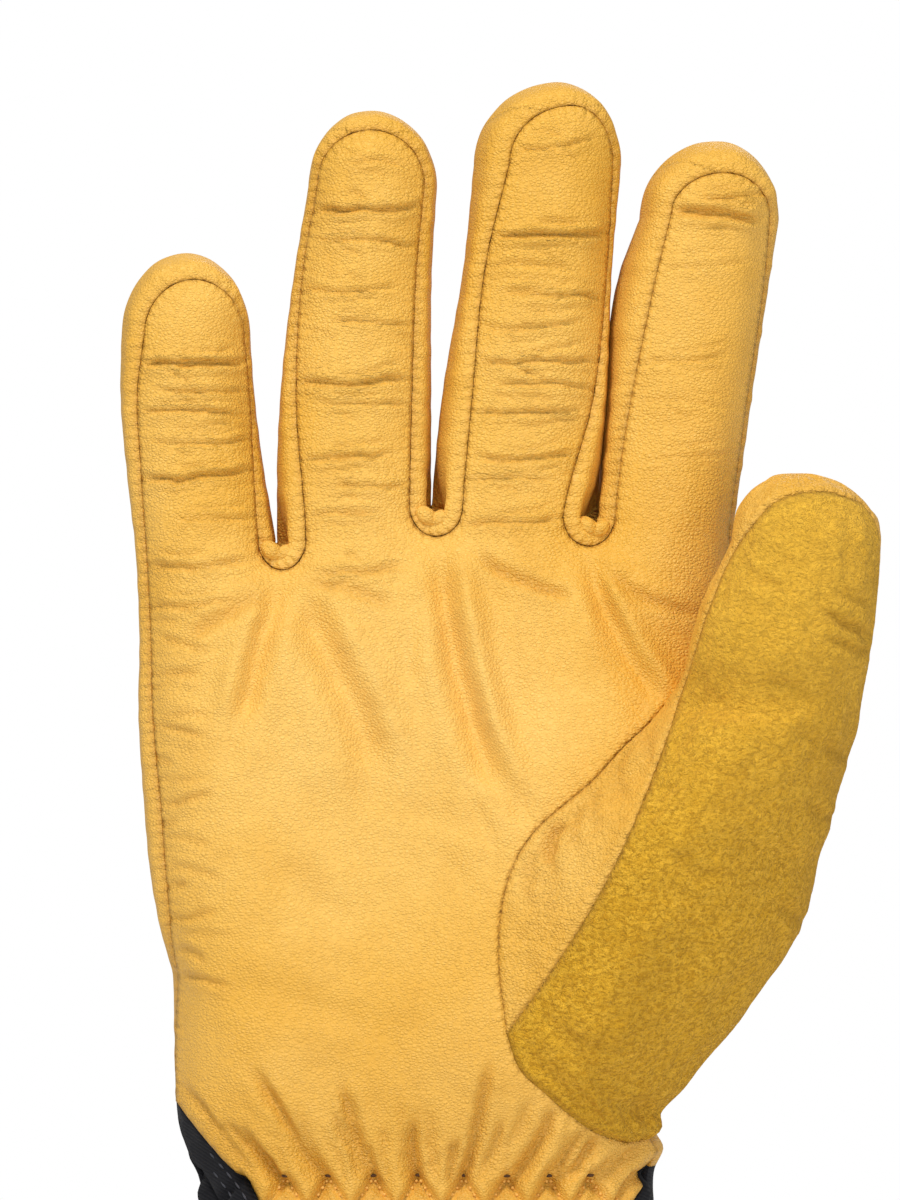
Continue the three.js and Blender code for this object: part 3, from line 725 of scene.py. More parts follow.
def stripFaces(choose):                     # choose(row, column) says which cells a piece takes
    cells = [(r, c) for c in range(len(columnKind) - 1) for r in range(rowCount - 1) if choose(r, c)]
    corners = {}                            # row and column of each corner, and its number
    faces = []
    for r, c in cells:
        around = ((r, c), (r + 1, c), (r + 1, c + 1), (r, c + 1))
        a, b, d, e = [corners.setdefault(spot, len(corners)) for spot in around]
        faces += [(a, b, d), (a, d, e)]
    rows, places = np.array(list(corners)).T
    points = gridPoints[rows, places]
    faces = np.array(faces)
    first = normalsOf(points[faces[0]], np.array([[0, 1, 2]]))[0]
    if first @ gridNormals[cells[0]] < 0:
        faces = faces[:, ::-1]
    far = outFrom[rows, places]
    return points, faces, {"seamFar": far, "seamRun": runSeam[places], "fold": stripFold[rows, places],
                           "sewn": puckerSize(far), "wrinkle": np.full(len(points), 0.15)}


def tipMiddle(name):                        # run along the seam to the middle of a fingertip
    tip = runSeam[columnKind == name + "Tip"]
    return float(tip.min() + tip.max()) / 2


def fourchette(a, b):
    low, high = tipMiddle(a), tipMiddle(b)
    return stripFaces(lambda r, c: r < min(splitRow[c], splitRow[c + 1]) and low < runSeam[c] < high)


fourchetteMeshes = [fourchette(a, b) for a, b in zip(fingerOrder[:-1], fingerOrder[1:])]
aboveCuff = seamLine[:, 1] > np.array([cuffTop.get(kind, -99) for kind in columnKind])
underThumb = (columnKind == "right") & (seamLine[:, 1] > thumbFoot) & (seamLine[:, 1] < thumbJoin)


def onBack(r, c):                           # under the thumb the back has only its last rows
    return (r >= min(splitRow[c], splitRow[c + 1]) and aboveCuff[c] and aboveCuff[c + 1]
            and not (underThumb[c] and r < strip["hiddenRows"]))


backStrip = stripFaces(onBack)
cuffStrip = stripFaces(lambda r, c: not (aboveCuff[c] and aboveCuff[c + 1]))
print("strips ready", len(backStrip[0]))

# back, cuff

backCreases = [
    [-20, 106, -30, 84, 2.4, 0.9, 0.5], [4, 108, 12, 82, 2.6, 1.0, -0.6], [32, 108, 40, 84, 2.4, 0.9, 0.4],
    [-36, 70, 4, 60, 3.0, 0.6, 2.0], [-2, 50, 34, 40, 3.0, 0.6, -2.0], [-38, 34, -6, 26, 3.0, 0.6, 1.5],
    [-30, 92, -10, 80, 2.4, 0.5, 1.5], [18, 90, 44, 72, 2.6, 0.5, -1.5],
]
for name, rows in fingerCreases.items():    # every second crease of the front shows behind it too
    for z, deep, tilt, start, end, wide in rows[::2]:
        left = float(tableAt(fingers[name]["rows"], z, 1)) + 3
        right = float(tableAt(fingers[name]["rows"], z, 2)) - 3
        backCreases.append([left, z + tilt / 2, right, z - tilt / 2, wide * 1.1, deep * 0.8, 0.5])

edgeStep = 0.9                              # spacing of points along a cut edge
lastUp = np.nonzero((columnKind == "right") & aboveCuff)[0][-1]
backOutline = innerLine[firstUp:lastUp + 1]
backLow = evenly([innerLine[lastUp], innerLine[firstUp]], edgeStep)
innerSeam = Seam(innerLine, innerFade)


def backDetail(flat, faces, creases):
    far, run, inner = innerSeam.near(flat)
    y = soften(flat, faces, backY(flat), 20)
    points = inSpace(flat, y)
    faces = facing(points, faces, (0, 1, 0))
    normals = normalsOf(points, faces)
    lift, fold, zone = creaseField(flat, creases)
    gather, gatherFold = pleatField(flat)
    stitch = hill(zigzagFar(flat), wrist["grooveWidth"])
    beside = ease(0.2, 4.0, far)
    lift = (lift + grain(flat, 7.7)) * beside + gather * 0.9 - wrist["groove"] * stitch * ease(0, 2, far)
    lift -= relief["tuck"] * np.exp(-far / 0.8) * inner
    sewn = inner > 0.2
    # painted shade: the fold field darkens the creases, the bottoms of the gathers and the zigzag's groove
    fields = {"seamFar": np.where(sewn, far, 9.0), "seamRun": run, "sewn": puckerSize(far) * sewn,
              "fold": np.clip(fold + 0.8 * gatherFold + 0.5 * stitch, 0, 1.5), "wrinkle": zone}
    return points + normals * lift[:, None], faces, fields


flat, faces = flatPanel(np.vstack([backOutline, backLow[1:]]), 1.1)
backPanel = backDetail(flat, faces, backCreases)
backMesh = joinUp(backPanel, backStrip)

cuffOutline = np.concatenate([backLow[::-1], innerLine[lastUp + 1:],
                              evenly([innerLine[-1], innerLine[0]], edgeStep)[1:-1], innerLine[:firstUp]])
flat, faces = flatPanel(cuffOutline, 1.1)
cuffBackPanel = backDetail(flat, faces, [])
cuffCorners = []
for edge, seamPart in ((edgeLeft, seamLine[:firstUp + 1]), (edgeRight, seamLine[lastUp:][::-1])):
    hem = evenly([edge[-1], seamPart[0]], edgeStep)[1:-1]
    flat, faces = flatPanel(np.concatenate([edge, hem, seamPart]), 1.0)
    cuffCorners.append(frontDetail(flat, faces, frontY(flat)))
cuffMesh = joinUp(cuffBackPanel, cuffStrip, *cuffCorners)
print("back ready", len(backMesh[0]), "cuff ready", len(cuffMesh[0]))

# thumb

thumb = {                                   # height, left and right, right side's depth, front and back bulge
    "stations": [[7.5, 36.2, 40.5, -8, 2, 5], [8.8, 32.4, 42.8, -8, 2.4, 6],
                 [12.5, 26.8, 43.4, -6, 4.5, 7], [17, 21.8, 47.8, -5, 7.4, 9],
                 [21, 17.4, 50.9, -5, 9.6, 10.5], [28, 14.8, 57, -5, 13.2, 13],
                 [34, 14.1, 61, -5.4, 15.6, 14.6], [42, 13.4, 66.8, -6, 18, 16],
                 [48, 13.6, 69.8, -7, 19.2, 16.5], [54, 14.8, 71.5, -8, 20, 17],
                 [60, 16.7, 72.6, -9.5, 20.6, 17], [66, 20.8, 74.6, -11, 21, 17],
                 [70, 25, 75.4, -12, 20.6, 17], [76, 31.5, 77, -14, 20, 17],
                 [82, 38, 78.6, -17, 18.4, 16], [88, 44.2, 79.6, -20, 17, 15],
                 [94, 47.2, 80.6, -22.6, 15.8, 14], [100, 48.5, 81.4, -25, 15, 13.5],
                 [106, 50, 82, -26.8, 14.4, 13.4], [112, 53, 82.5, -28, 14, 13.5],
                 [118, 55.5, 82.8, -28.5, 13.6, 13.5]],
    "leftDepth": [[88, -16.8], [92, -21], [96, -25], [100, -27], [106, -27.8], [112, -28], [118, -28.5]],
    "free": (74, 92),                       # it comes free of the palm between these heights
    "domeStart": 118.0,
    "domeHeight": 12.4,
    "domeLength": 19.0,                     # the dome's own run from its start to the tip, in the flat
    "domeX": 69.15,
    "tipX": 67.4,
    "round": 70.0,                          # flat width that half the ring stands for
    "low": 7.5,                             # height of the pad's lower end
    "cutTurn": -0.3,                        # where the back is cut open, in half rings
    "mostTurn": 1.69,                       # how far round the back passes inside the hand
    "padSeam": [(14.8, 27.9), (22.6, 39), (32.2, 54.9), (41.1, 74.6), (47.4, 92.1), (51.5, 105.6),
                (57.7, 118.6), (64, 125.4), (72.3, 126.9), (79, 125)],
}
stationRows = thumb["stations"]
domeEnd = thumb["domeStart"] + thumb["domeLength"]
heelUp = heelSeam.line[heelSeam.line[:, 0] < 36.4][::-1]
seamUp = np.vstack([heelUp[heelUp[:, 1] < 27.6], thumbSeam.line[thumbSeam.line[:, 1] > 28]])
seamUpY = frontY(seamUp)


def leftEdge(z):                            # where the thumb leaves the palm: x and y
    z = np.asarray(z, float)
    across, deep = ease(87.5, 91, z), ease(84, 92, z)
    x = np.interp(z, seamUp[:, 1], seamUp[:, 0])
    y = np.interp(z, seamUp[:, 1], seamUpY)
    return (x * (1 - across) + tableAt(stationRows, z, 1) * across,
            y * (1 - deep) + tableAt(thumb["leftDepth"], z) * deep)


def acrossAt(turn, z):                      # -1 at the left edge, 1 at the right; even steps beside the palm
    turned = -np.cos(math.pi * turn)
    free = ease(*thumb["free"], z)
    return np.where((turn > 0) & (turn < 0.5), free * turned + (1 - free) * (2 * turn - 1), turned)


def thumbPoint(turn, h):                    # turn 0..1 is the front from left to right, 1..2 the back
    turn = np.mod(np.asarray(turn, float) + 0.5, 2) - 0.5
    h = np.asarray(h, float)
    over = np.clip((h - thumb["domeStart"]) / thumb["domeLength"], 0, 1) * math.pi / 2
    z = np.minimum(h, thumb["domeStart"])
    scale = np.cos(over)
    left, yLeft = leftEdge(z)
    right, yRight = tableAt(stationRows, z, 2), tableAt(stationRows, z, 3)
    front, back = tableAt(stationRows, z, 4), tableAt(stationRows, z, 5)
    u = acrossAt(turn, z)
    centre = (left + right) / 2 + (thumb["tipX"] - thumb["domeX"]) * (1 - scale)
    x = centre + u * (right - left) / 2 * scale
    level = (yLeft + yRight) / 2 + u * (yRight - yLeft) / 2 * scale
    oval = np.sqrt(np.clip(1 - u ** 2, 0, 1)) ** 0.92
    v = np.clip(u + 1, 0, 1)
    gentle = 0.55 * v * (2 - v) + 0.45 * v * v * (3 - 2 * v)        # it leaves the palm without a step
    free = ease(*thumb["free"], z)
    start = np.where(u < 0, gentle * (1 - free) + oval * free, oval)
    behind = (turn > 1) | (turn < 0)
    y = level + np.where(behind, back * oval, -front * start) * scale
    return np.stack([x, y, z + thumb["domeHeight"] * np.sin(over)], 1)


def turnFor(x, z):                          # where on the front of the thumb a point seen from the palm lies
    over = math.asin(min(0.999, max(0, (z - thumb["domeStart"]) / thumb["domeHeight"])))
    h = z if z < thumb["domeStart"] else thumb["domeStart"] + over / (math.pi / 2) * thumb["domeLength"]
    low = min(z, thumb["domeStart"])
    left, right = float(leftEdge(low)[0]), float(tableAt(stationRows, low, 2))
    scale = math.cos(over)
    centre = (left + right) / 2 + (thumb["tipX"] - thumb["domeX"]) * (1 - scale)
    u = (x - centre) / ((right - left) / 2 * scale)
    turns = np.linspace(0, 1, 2001)
    return float(np.interp(u, acrossAt(turns, low), turns)), h


print("thumb shape ready")

thumbHalf = thumb["round"]


def flatEdge(spots):                        # a smooth edge in the flat through turns and heights
    return through([(turn * thumbHalf, h) for turn, h in spots], edgeStep)


padTurns = [turnFor(x, z) for x, z in through(thumb["padSeam"], edgeStep)]
outerSeam = flatEdge([(0.90, 122.5), (0.95, 117), (0.98, 108), (1, 96), (1.01, 80), (1.03, 60),
                      (1.03, 40), (1.03, 20), (1.02, 9)])
padLine = np.array([(t * thumbHalf, h) for t, h in padTurns])
padRim = evenly(np.vstack([padLine, outerSeam[1:]]), edgeStep)
padOutline = np.concatenate([padRim, evenly([(thumbHalf, thumb["low"]), (0, thumb["low"])], edgeStep),
                             evenly([(0, thumb["low"] + 0.15), (0, 27.6)], 0.3)])
cutX = thumb["cutTurn"] * thumbHalf
cutLine = evenly([(cutX, 83), (cutX, domeEnd)], edgeStep)


def turnInside(z):                          # how far round the back the thumb goes to pass inside the hand
    left, right = float(leftEdge(z)[0]), float(tableAt(stationRows, z, 2))
    u = (float(tableAt(hand["right"], z)) - 4.5 - (left + right) / 2) / ((right - left) / 2)
    return min(thumb["mostTurn"], max(1.1, 1 + math.acos(min(1, max(-1, u))) / math.pi))


thumbBackOutline = np.concatenate([
    padRim[::-1], evenly([padRim[0], (0, 29)], edgeStep)[1:], evenly([(0, 30), (0, 86)], edgeStep),
    flatEdge([(-0.06, 84.5), (-0.15, 83), (thumb["cutTurn"], 83)])[:-1], cutLine,
    evenly([(cutX + 1, domeEnd), (cutX + 2 * thumbHalf - 1, domeEnd)], edgeStep),
    cutLine[::-1] + (2 * thumbHalf, 0),
    flatEdge([(turnInside(z), z) for z in (81, 74, 64, 54, 44, 34, 24, 16)] + [(1.06, 9.5)]),
])
gussetLine = thumbPoint(np.zeros(120), np.linspace(7.6, 89, 120))
padEdge = thumbPoint(padRim[:, 0] / thumbHalf, padRim[:, 1])
thumbCreases = [
    [24.6, 67.0, 21.8, 59.2, 1.2, 2.0, 0.4], [28, 70.5, 27, 62, 0.9, 0.6, 0.8],
    [20.5, 62, 18.2, 53, 0.9, 0.5, 0.7], [31.5, 75, 31, 66, 0.9, 0.5, 1.0],
    [36, 80, 36.5, 71, 1.0, 0.5, 1.0], [41, 84, 41.5, 77, 1.0, 0.5, 0.8],
    [72, 105.5, 81, 101.5, 0.9, 1.0, 0.5], [73, 100.5, 82, 98.0, 0.7, 0.7, 0.3],
    [75, 109, 81.5, 107.5, 0.8, 0.5, 0.3], [73, 80.5, 79, 78, 0.8, 0.6, 0.4],
    [70, 70, 76, 66.5, 0.9, 0.6, 0.5], [64, 52, 71, 48, 1.0, 0.6, 0.6],
    [58, 112, 66, 109.5, 0.8, 0.5, 0.5], [62, 93, 70, 91, 0.9, 0.5, 0.6], [44, 62, 54, 57, 1.1, 0.5, 0.9],
    [60, 118, 67, 114.5, 1.0, 0.3, 0.6], [55, 108, 63, 105, 1.1, 0.35, 0.6],
    [50, 90, 60, 86.5, 1.4, 0.4, 0.8], [46, 80, 58, 75, 1.8, 0.45, 1.0], [66, 84, 79, 80, 1.4, 0.5, 0.8],
    [20, 33, 34, 24, 1.8, 0.7, 1.6], [25, 26, 40, 17, 1.5, 0.7, 1.4], [31, 18, 43, 12.5, 1.2, 0.6, 0.8],
    [18, 42, 27, 36, 1.6, 0.5, 1.0], [56, 64, 72, 58, 2.2, 0.5, 1.2], [52, 30, 62, 40, 2.2, 0.5, -1.2],
]
thumbBackCreases = [[48, 96, 62, 92, 1.4, 0.6, 0.8], [50, 108, 68, 104, 1.2, 0.5, 0.8],
                    [66, 88, 79, 92, 1.4, 0.6, 0.8], [56, 70, 76, 74, 2.0, 0.7, 1.5],
                    [54, 52, 70, 58, 2.0, 0.6, 1.0]]


def farFrom(points, *lines):                # distance to the nearest line, to the next one, and the run there
    best = np.full(len(points), 1e9)
    second = np.full(len(points), 1e9)
    run = np.zeros(len(points))
    spacing = 0.25
    for line in lines:
        dense = evenly(line, spacing)
        tree = kdtree.KDTree(len(dense))
        for i, p in enumerate(dense):
            tree.insert(p, i)
        tree.balance()
        found = [tree.find(p) for p in points]
        far = np.array([f[2] for f in found])
        at = np.array([f[1] for f in found]) * spacing
        run = np.where(far < best, at, run)
        second = np.minimum(second, np.maximum(best, far))
        best = np.minimum(best, far)
    return best, second, run


def thumbPanel(outline):
    flat, faces = flatPanel(outline, 0.9)
    turn, h = flat[:, 0] / thumbHalf, flat[:, 1]
    points = thumbPoint(turn, h)
    inside = thumbPoint(np.full(len(h), 0.5), h) * 0.5 + thumbPoint(np.full(len(h), 1.5), h) * 0.5
    a, b, c = points[faces[:, 0]], points[faces[:, 1]], points[faces[:, 2]]
    if (np.cross(b - a, c - a) * (a - inside[faces[:, 0]])).sum() < 0:
        faces = faces[:, ::-1]
    inFront = (turn >= 0) & (turn <= 1)
    low = np.where(inFront, 0.004, -0.6)    # front and back are each measured on their own side of the edge
    high = np.where(inFront, 0.996, 1.98)
    wayTurn = thumbPoint(np.clip(turn + 0.003, low, high), h) - thumbPoint(np.clip(turn - 0.003, low, high), h)
    wayUp = thumbPoint(np.clip(turn, low, high), h + 0.2) - thumbPoint(np.clip(turn, low, high), h - 0.2)
    normals = np.cross(wayTurn, wayUp)
    normals *= np.sign(((points - inside) * normals).sum())
    size = np.linalg.norm(normals, axis=1)
    ready = (size > 1e-3)[:, None]
    normals = np.where(ready, normals / np.maximum(size, 1e-9)[:, None], normalsOf(points, faces))
    far, second, run = farFrom(points, gussetLine, padEdge)
    seen = points[:, [0, 2]]
    isFront = (turn > -0.02) & (turn < 1.02)
    sides = zip(creaseField(seen, thumbCreases), creaseField(seen, thumbBackCreases))
    lift, fold, zone = [np.where(isFront, front, behind) for front, behind in sides]
    swell = 0.45 * roughly(flat, 6.5, 8.1) + 0.25 * roughly(flat, 3.1, 1.9)
    lift = (lift + grain(flat, 4.4) + swell) * ease(0.2, 3.5, far) + 0.25 * hill(far - 1.3, 0.9)
    lift *= ease(domeEnd, domeEnd - 5, h)   # all of one height at the very tip
    normals[h > domeEnd - 0.6] = (0, 0, 1)
    points = points + normals * lift[:, None]
    points[:, 1] += relief["thumbTuck"] * np.exp(-far / 0.6) * np.where(isFront, 1, 0)
    # painted shade: the fold field darkens the creases of the thumb
    return points, faces, {"seamFar": far, "seamRun": run, "sewn": puckerSize(far, second),
                           "fold": np.clip(fold, 0, 1.5), "wrinkle": np.clip(zone + 0.5, 0, 1)}


padMesh = thumbPanel(padOutline)
thumbBackMesh = joinUp(thumbPanel(thumbBackOutline))        # joined to itself at the tip and along its cut
print("thumb ready", len(padMesh[0]), len(thumbBackMesh[0]))

# node maths


class Wire:                                 # a socket that can be added, multiplied and so on
    def __init__(self, look, socket):
        self.look = look
        self.socket = socket

    def maths(self, kind, other=None, swap=False, clamp=False):
        ends = [self] if other is None else ([other, self] if swap else [self, other])
        settings = {"operation": kind, "use_clamp": clamp}
        return self.look.node("ShaderNodeMath", settings, dict(enumerate(ends)))

    def __add__(self, other):
        return self.maths("ADD", other)

    def __radd__(self, other):
        return self.maths("ADD", other, True)

    def __sub__(self, other):
        return self.maths("SUBTRACT", other)

    def __rsub__(self, other):
        return self.maths("SUBTRACT", other, True)

    def __mul__(self, other):
        return self.maths("MULTIPLY", other)

    def __rmul__(self, other):
        return self.maths("MULTIPLY", other, True)

    def __pow__(self, other):
        return self.maths("POWER", other)

    def clamped(self):
        return self.maths("ADD", 0, False, True)

    def sine(self):
        return self.maths("SINE")

    def over(self, low, high):              # 0 below low, 1 above high, smooth between
        return self.look.node("ShaderNodeMapRange", {"interpolation_type": "SMOOTHSTEP"},
                              {"Value": self, "From Min": low, "From Max": high})


class Look:                                 # one material, or the world, and the nodes in it
    def __init__(self, name, library=bpy.data.materials):
        self.material = library.new(name)
        self.material.use_nodes = True
        self.tree = self.material.node_tree
        self.tree.nodes.clear()
        self.place = self.node("ShaderNodeTexCoord", out="Object")

    def node(self, kind, settings=None, values=None, out=0):
        made = self.tree.nodes.new(kind)
        for key, value in (settings or {}).items():
            setattr(made, key, value)
        for key, value in (values or {}).items():
            socket = made.inputs[key]
            if isinstance(value, Wire):
                self.tree.links.new(value.socket, socket)
            else:
                socket.default_value = value
        return Wire(self, made.outputs[out]) if len(made.outputs) else made

    def field(self, name):
        return self.node("ShaderNodeAttribute", {"attribute_name": name}, out="Fac")

    def along(self, axis):                  # the place's X, Y or Z, in metres
        return self.node("ShaderNodeSeparateXYZ", {}, {0: self.place}, axis)

    def noise(self, scale, detail=2.0, place=None, roughness=0.5):      # scale in waves per metre
        values = {"Vector": place or self.place, "Scale": scale, "Detail": detail, "Roughness": roughness}
        return self.node("ShaderNodeTexNoise", {}, values, "Fac")

    def cells(self, scale, place, feature):
        values = {"Vector": place, "Scale": scale}
        return self.node("ShaderNodeTexVoronoi", {"feature": feature}, values, "Distance")

    def moved(self, amount, scale):         # the place, pushed about by noise
        values = {"Vector": self.place, "Scale": scale, "Detail": 1.0}
        push = self.node("ShaderNodeTexNoise", {}, values, "Color")
        centred = self.vector("SUBTRACT", push, (0.5, 0.5, 0.5))
        scaled = self.node("ShaderNodeVectorMath", {"operation": "SCALE"}, {0: centred, "Scale": amount})
        return self.vector("ADD", self.place, scaled)

    def stretched(self, x, y, z, place=None):
        return self.vector("MULTIPLY", place or self.place, (x, y, z))

    def vector(self, kind, a, b, out="Vector"):
        return self.node("ShaderNodeVectorMath", {"operation": kind}, {0: a, 1: b}, out)

    def mixed(self, amount, a, b):          # colour a, turning to colour b as amount goes from 0 to 1
        a, b = [c if isinstance(c, Wire) else (*c, 1) for c in (a, b)]
        return self.node("ShaderNodeMix", {"data_type": "RGBA"}, {0: amount, 6: a, 7: b}, 2)

    def done(self, colour, roughness, height, bump, constants=None):
        normal = self.node("ShaderNodeBump", {}, {"Height": height, "Distance": bump, "Strength": 1.0})
        values = {"Base Color": colour, "Roughness": roughness, "Normal": normal}
        values.update(constants or {})
        shader = self.node("ShaderNodeBsdfPrincipled", {}, values)
        self.node("ShaderNodeOutputMaterial", {}, {"Surface": shader})
        return self.material


leather = {                                 # colours are linear
    "light": (0.88, 0.50, 0.078),
    "mid": (0.82, 0.435, 0.040),
    "deep": (0.60, 0.27, 0.012),
    # painted shade for the seams' grooves and the stitches' puckers
    "seamShade": (0.34, 0.14, 0.012),
    "paintedHighlight": (0.96, 0.61, 0.165),          # painted highlight: paler in the middle of the palm, where a broad glint of light falls
    "paintedHighlightAt": (-0.004, -0.026, 0.086),
    "pebble": 1600.0,                       # pebbles per metre
    "pucker": 2.1,                          # length of a stitch in a seam, in millimetres
    "bump": 0.00030,
    "roughness": 0.46,
}


def leatherLook():
    look = Look("goldLeather")
    seamFar = look.field("seamFar")
    seamRun = look.field("seamRun")
    fold = look.field("fold")
    creased = look.field("wrinkle")
    place = look.moved(0.0003, 700.0)
    long = look.stretched(0.8, 1.0, 1.2, place)
    pebble = look.cells(leather["pebble"], long, "F1")
    valleys = look.cells(leather["pebble"], long, "DISTANCE_TO_EDGE").over(0.0, 0.36)
    pore = look.noise(3200.0, 1.0)
    slow = look.noise(38.0, 2.0)
    blotch = look.noise(130.0, 2.0)
    pucker = (seamRun * (2 * math.pi / leather["pucker"])).sine() * look.field("sewn")
    groove = (-1 * seamFar * seamFar * 5.0).maths("EXPONENT")
    wrinkle = look.noise(300.0, 3.0, look.stretched(0.6, 1.0, 1.9, place), 0.6)
    ridged = look.noise(150.0, 3.0, look.stretched(0.45, 1.0, 1.8, place), 0.6)
    crack = (1 - ((ridged - 0.5) * 9).maths("ABSOLUTE")).clamped() ** 2
    zone = (creased * look.noise(90.0, 2.0).over(0.38, 0.62)).clamped()
    height = (((1 - pebble) * 0.45 + valleys * 0.3) * (1 + creased * 0.6) + pore * 0.16 + pucker * 0.42
              + wrinkle * (0.3 + zone * 1.5) - groove * 0.15 - crack * zone * 1.2)
    colour = look.mixed(slow.over(0.3, 0.7), leather["mid"], leather["light"])
    # painted highlight: the middle of the palm is made paler, standing in for a broad glint of light
    away = look.vector("DISTANCE", look.place, leather["paintedHighlightAt"], "Value")
    paintedHighlight = (1 - away.over(0.008, 0.056)) * (0.45 + slow * 0.5)
    colour = look.mixed((paintedHighlight * 0.75).clamped(), colour, leather["paintedHighlight"])
    # painted shade: darker towards the wrist, where the surface turns down away from the light
    colour = look.mixed(((1 - look.along("Z").over(0.0, 0.05)) * 0.16).clamped(), colour, leather["deep"])
    colour = look.mixed((blotch.over(0.45, 0.8) * 0.16).clamped(), colour, leather["deep"])
    # painted shade: darker in the pebbles' valleys and in the fine cracks of the creases
    valley = ((1 - valleys) * 0.16 + crack * zone * 0.1).clamped()
    colour = look.mixed(valley, colour, leather["deep"])
    # painted shade: darker in the creases, the gathers' bottoms, the zigzag's groove, beside the strip's seam
    # and between the knots' lumps
    colour = look.mixed((fold * 0.42).clamped(), colour, leather["deep"])
    # painted shade: darker in the seams' grooves and in the stitches' puckers
    colour = look.mixed((groove * 0.05 + pucker.clamped() * groove * 0.3).clamped(), colour, leather["seamShade"])
    roughness = (leather["roughness"] + blotch * 0.16 + pebble * 0.12 - fold * 0.04).clamped()
    return look.done(colour, roughness, height, leather["bump"], {"Specular IOR Level": 0.62})


suede = {
    "light": (0.92, 0.52, 0.044),
    "mid": (0.78, 0.415, 0.024),
    "deep": (0.53, 0.26, 0.012),
    "paintedTopLight": (1.0, 0.58, 0.075),          # painted light: lighter towards the thumb's tip, which faces the light from above
    "shade": (0.36, 0.18, 0.015),           # in folds and beside the seam
    "bump": 0.00085,
}


def suedeLook():
    look = Look("goldSuede")
    seamFar = look.field("seamFar")
    fold = look.field("fold")
    place = look.moved(0.0012, 500.0)
    nap = look.noise(1250.0, 3.0, look.stretched(0.75, 1.0, 1.2, place), 0.7)
    stroke = look.noise(560.0, 3.0, look.stretched(0.8, 1.0, 1.2, place), 0.65)
    fibre = look.noise(3600.0, 1.0)
    slow = look.noise(45.0, 2.0)
    groove = (-1 * seamFar * seamFar * 1.2).maths("EXPONENT")
    colour = look.mixed(stroke.over(0.3, 0.7), suede["mid"], suede["light"])
    between = nap.over(0.44, 0.62) * 0.75 + fibre.over(0.45, 0.65) * 0.4        # the dark between the hairs
    colour = look.mixed(between.clamped(), colour, suede["deep"])
    colour = look.mixed((slow.over(0.45, 0.75) * 0.3).clamped(), colour, suede["deep"])
    # painted light: the suede is lighter towards the top, where the light falls from above
    colour = look.mixed((look.along("Z").over(0.045, 0.125) * 0.4).clamped(), colour, suede["paintedTopLight"])
    colour = look.mixed((fold * 0.25 + groove * 0.3).clamped(), colour, suede["shade"])
    height = nap * 1.3 + stroke * 1.1 + fibre * 0.4 - groove * 0.4
    return look.done(colour, 0.92 - stroke * 0.1, height, suede["bump"],
                     {"Specular IOR Level": 0.1, "Sheen Weight": 0.09, "Sheen Roughness": 0.6,
                      "Sheen Tint": (1.0, 0.78, 0.42, 1)})


cloth = {
    "dark": (0.003, 0.003, 0.004),
    "pale": (0.014, 0.014, 0.017),
    "twill": 5200.0,                        # radians per metre of its slanting lines, and of its ribs
    "rib": 9000.0,
}


def clothLook():
    look = Look("darkCloth")
    up = look.along("Z")
    twill = ((look.along("X") + up * 1.7) * cloth["twill"]).sine() * 0.5 + 0.5
    rib = (up * cloth["rib"]).sine() * 0.5 + 0.5
    fuzz = look.noise(3000.0, 3.0)
    colour = look.mixed((twill * 0.5 + fuzz * 0.5).clamped(), cloth["dark"], cloth["pale"])
    return look.done(colour, 0.86 + fuzz * 0.1, twill * 0.7 + rib * 0.2 + fuzz * 0.4, 0.0001,
                     {"Specular IOR Level": 0.2, "Sheen Weight": 0.04, "Sheen Roughness": 0.5})


def threadLook(name, dark, pale):
    look = Look(name)
    twist = look.noise(4200.0, 2.0)
    slow = look.noise(300.0, 2.0)
    colour = look.mixed((twist * 0.6 + slow * 0.5).clamped(), dark, pale)
    return look.done(colour, 0.55 + twist * 0.2, twist, 0.00006, {"Specular IOR Level": 0.35})


goldLeather = leatherLook()
goldSuede = suedeLook()
darkCloth = clothLook()
goldThread = threadLook("goldThread", (0.74, 0.38, 0.055), (0.93, 0.56, 0.15))
darkThread = threadLook("darkThread", (0.018, 0.018, 0.022), (0.07, 0.07, 0.085))
# painted shade: the dark colour of the needle holes, standing in for the shade inside each hole
brownThread = threadLook("brownThread", (0.035, 0.016, 0.006), (0.12, 0.055, 0.018))
print("looks ready")

# the pieces

palm = addPiece("palmPanel", *palmMesh, goldLeather, "gold_leather", ["palm"])
back = addPiece("backPanel", *backMesh, goldLeather, "gold_leather", ["back"])
fourchetteNodes = ["fourchette_little_ring", "fourchette_ring_middle", "fourchette_middle_index"]
fourchettes = [addPiece("fourchette" + str(i + 1), *m, goldLeather, "gold_leather", [node])
               for i, (m, node) in enumerate(zip(fourchetteMeshes, fourchetteNodes))]
thumbPad = addPiece("thumbPad", *padMesh, goldSuede, "gold_suede", ["thumb_pad"], suedeThick)
thumbBack = addPiece("thumbBack", *thumbBackMesh, goldLeather, "gold_leather", ["thumb_back"])
cuff = addPiece("cuff", *cuffMesh, darkCloth, "dark_cloth", ["cuff_back"])

# threads, holes and the small knots between the fingers

sewing = {
    "thread": 0.62,                         # thickness
    "bow": 0.18,                            # how far a stitch bulges
    "end": 0.06,                            # share of a stitch's length left bare at each end
    "perLimb": 5,
    "hole": (0.8, 0.35, 0.34),              # half sizes of the slit at each peak
    "sunk": 0.05,
}


class Surface:                              # the front of a piece, seen from the palm's side
    def __init__(self, points):
        self.depths = points[:, 1]
        self.tree = kdtree.KDTree(len(points))
        for i, spot in enumerate(points):
            self.tree.insert((spot[0], spot[2], 0), i)
        self.tree.balance()

    def under(self, x, z, level=False):     # its depth under a stitch; level takes a plain mean
        found = self.tree.find_n((x, z, 0), 3)
        share = np.array([1.0 if level else 1 / (f[2] + 0.05) for f in found])
        return float((self.depths[[f[1] for f in found]] * share).sum() / share.sum())


palmFront = Surface(palmMesh[0])
cuffFront = Surface(cuffMesh[0][cuffMesh[0][:, 1] < 0])


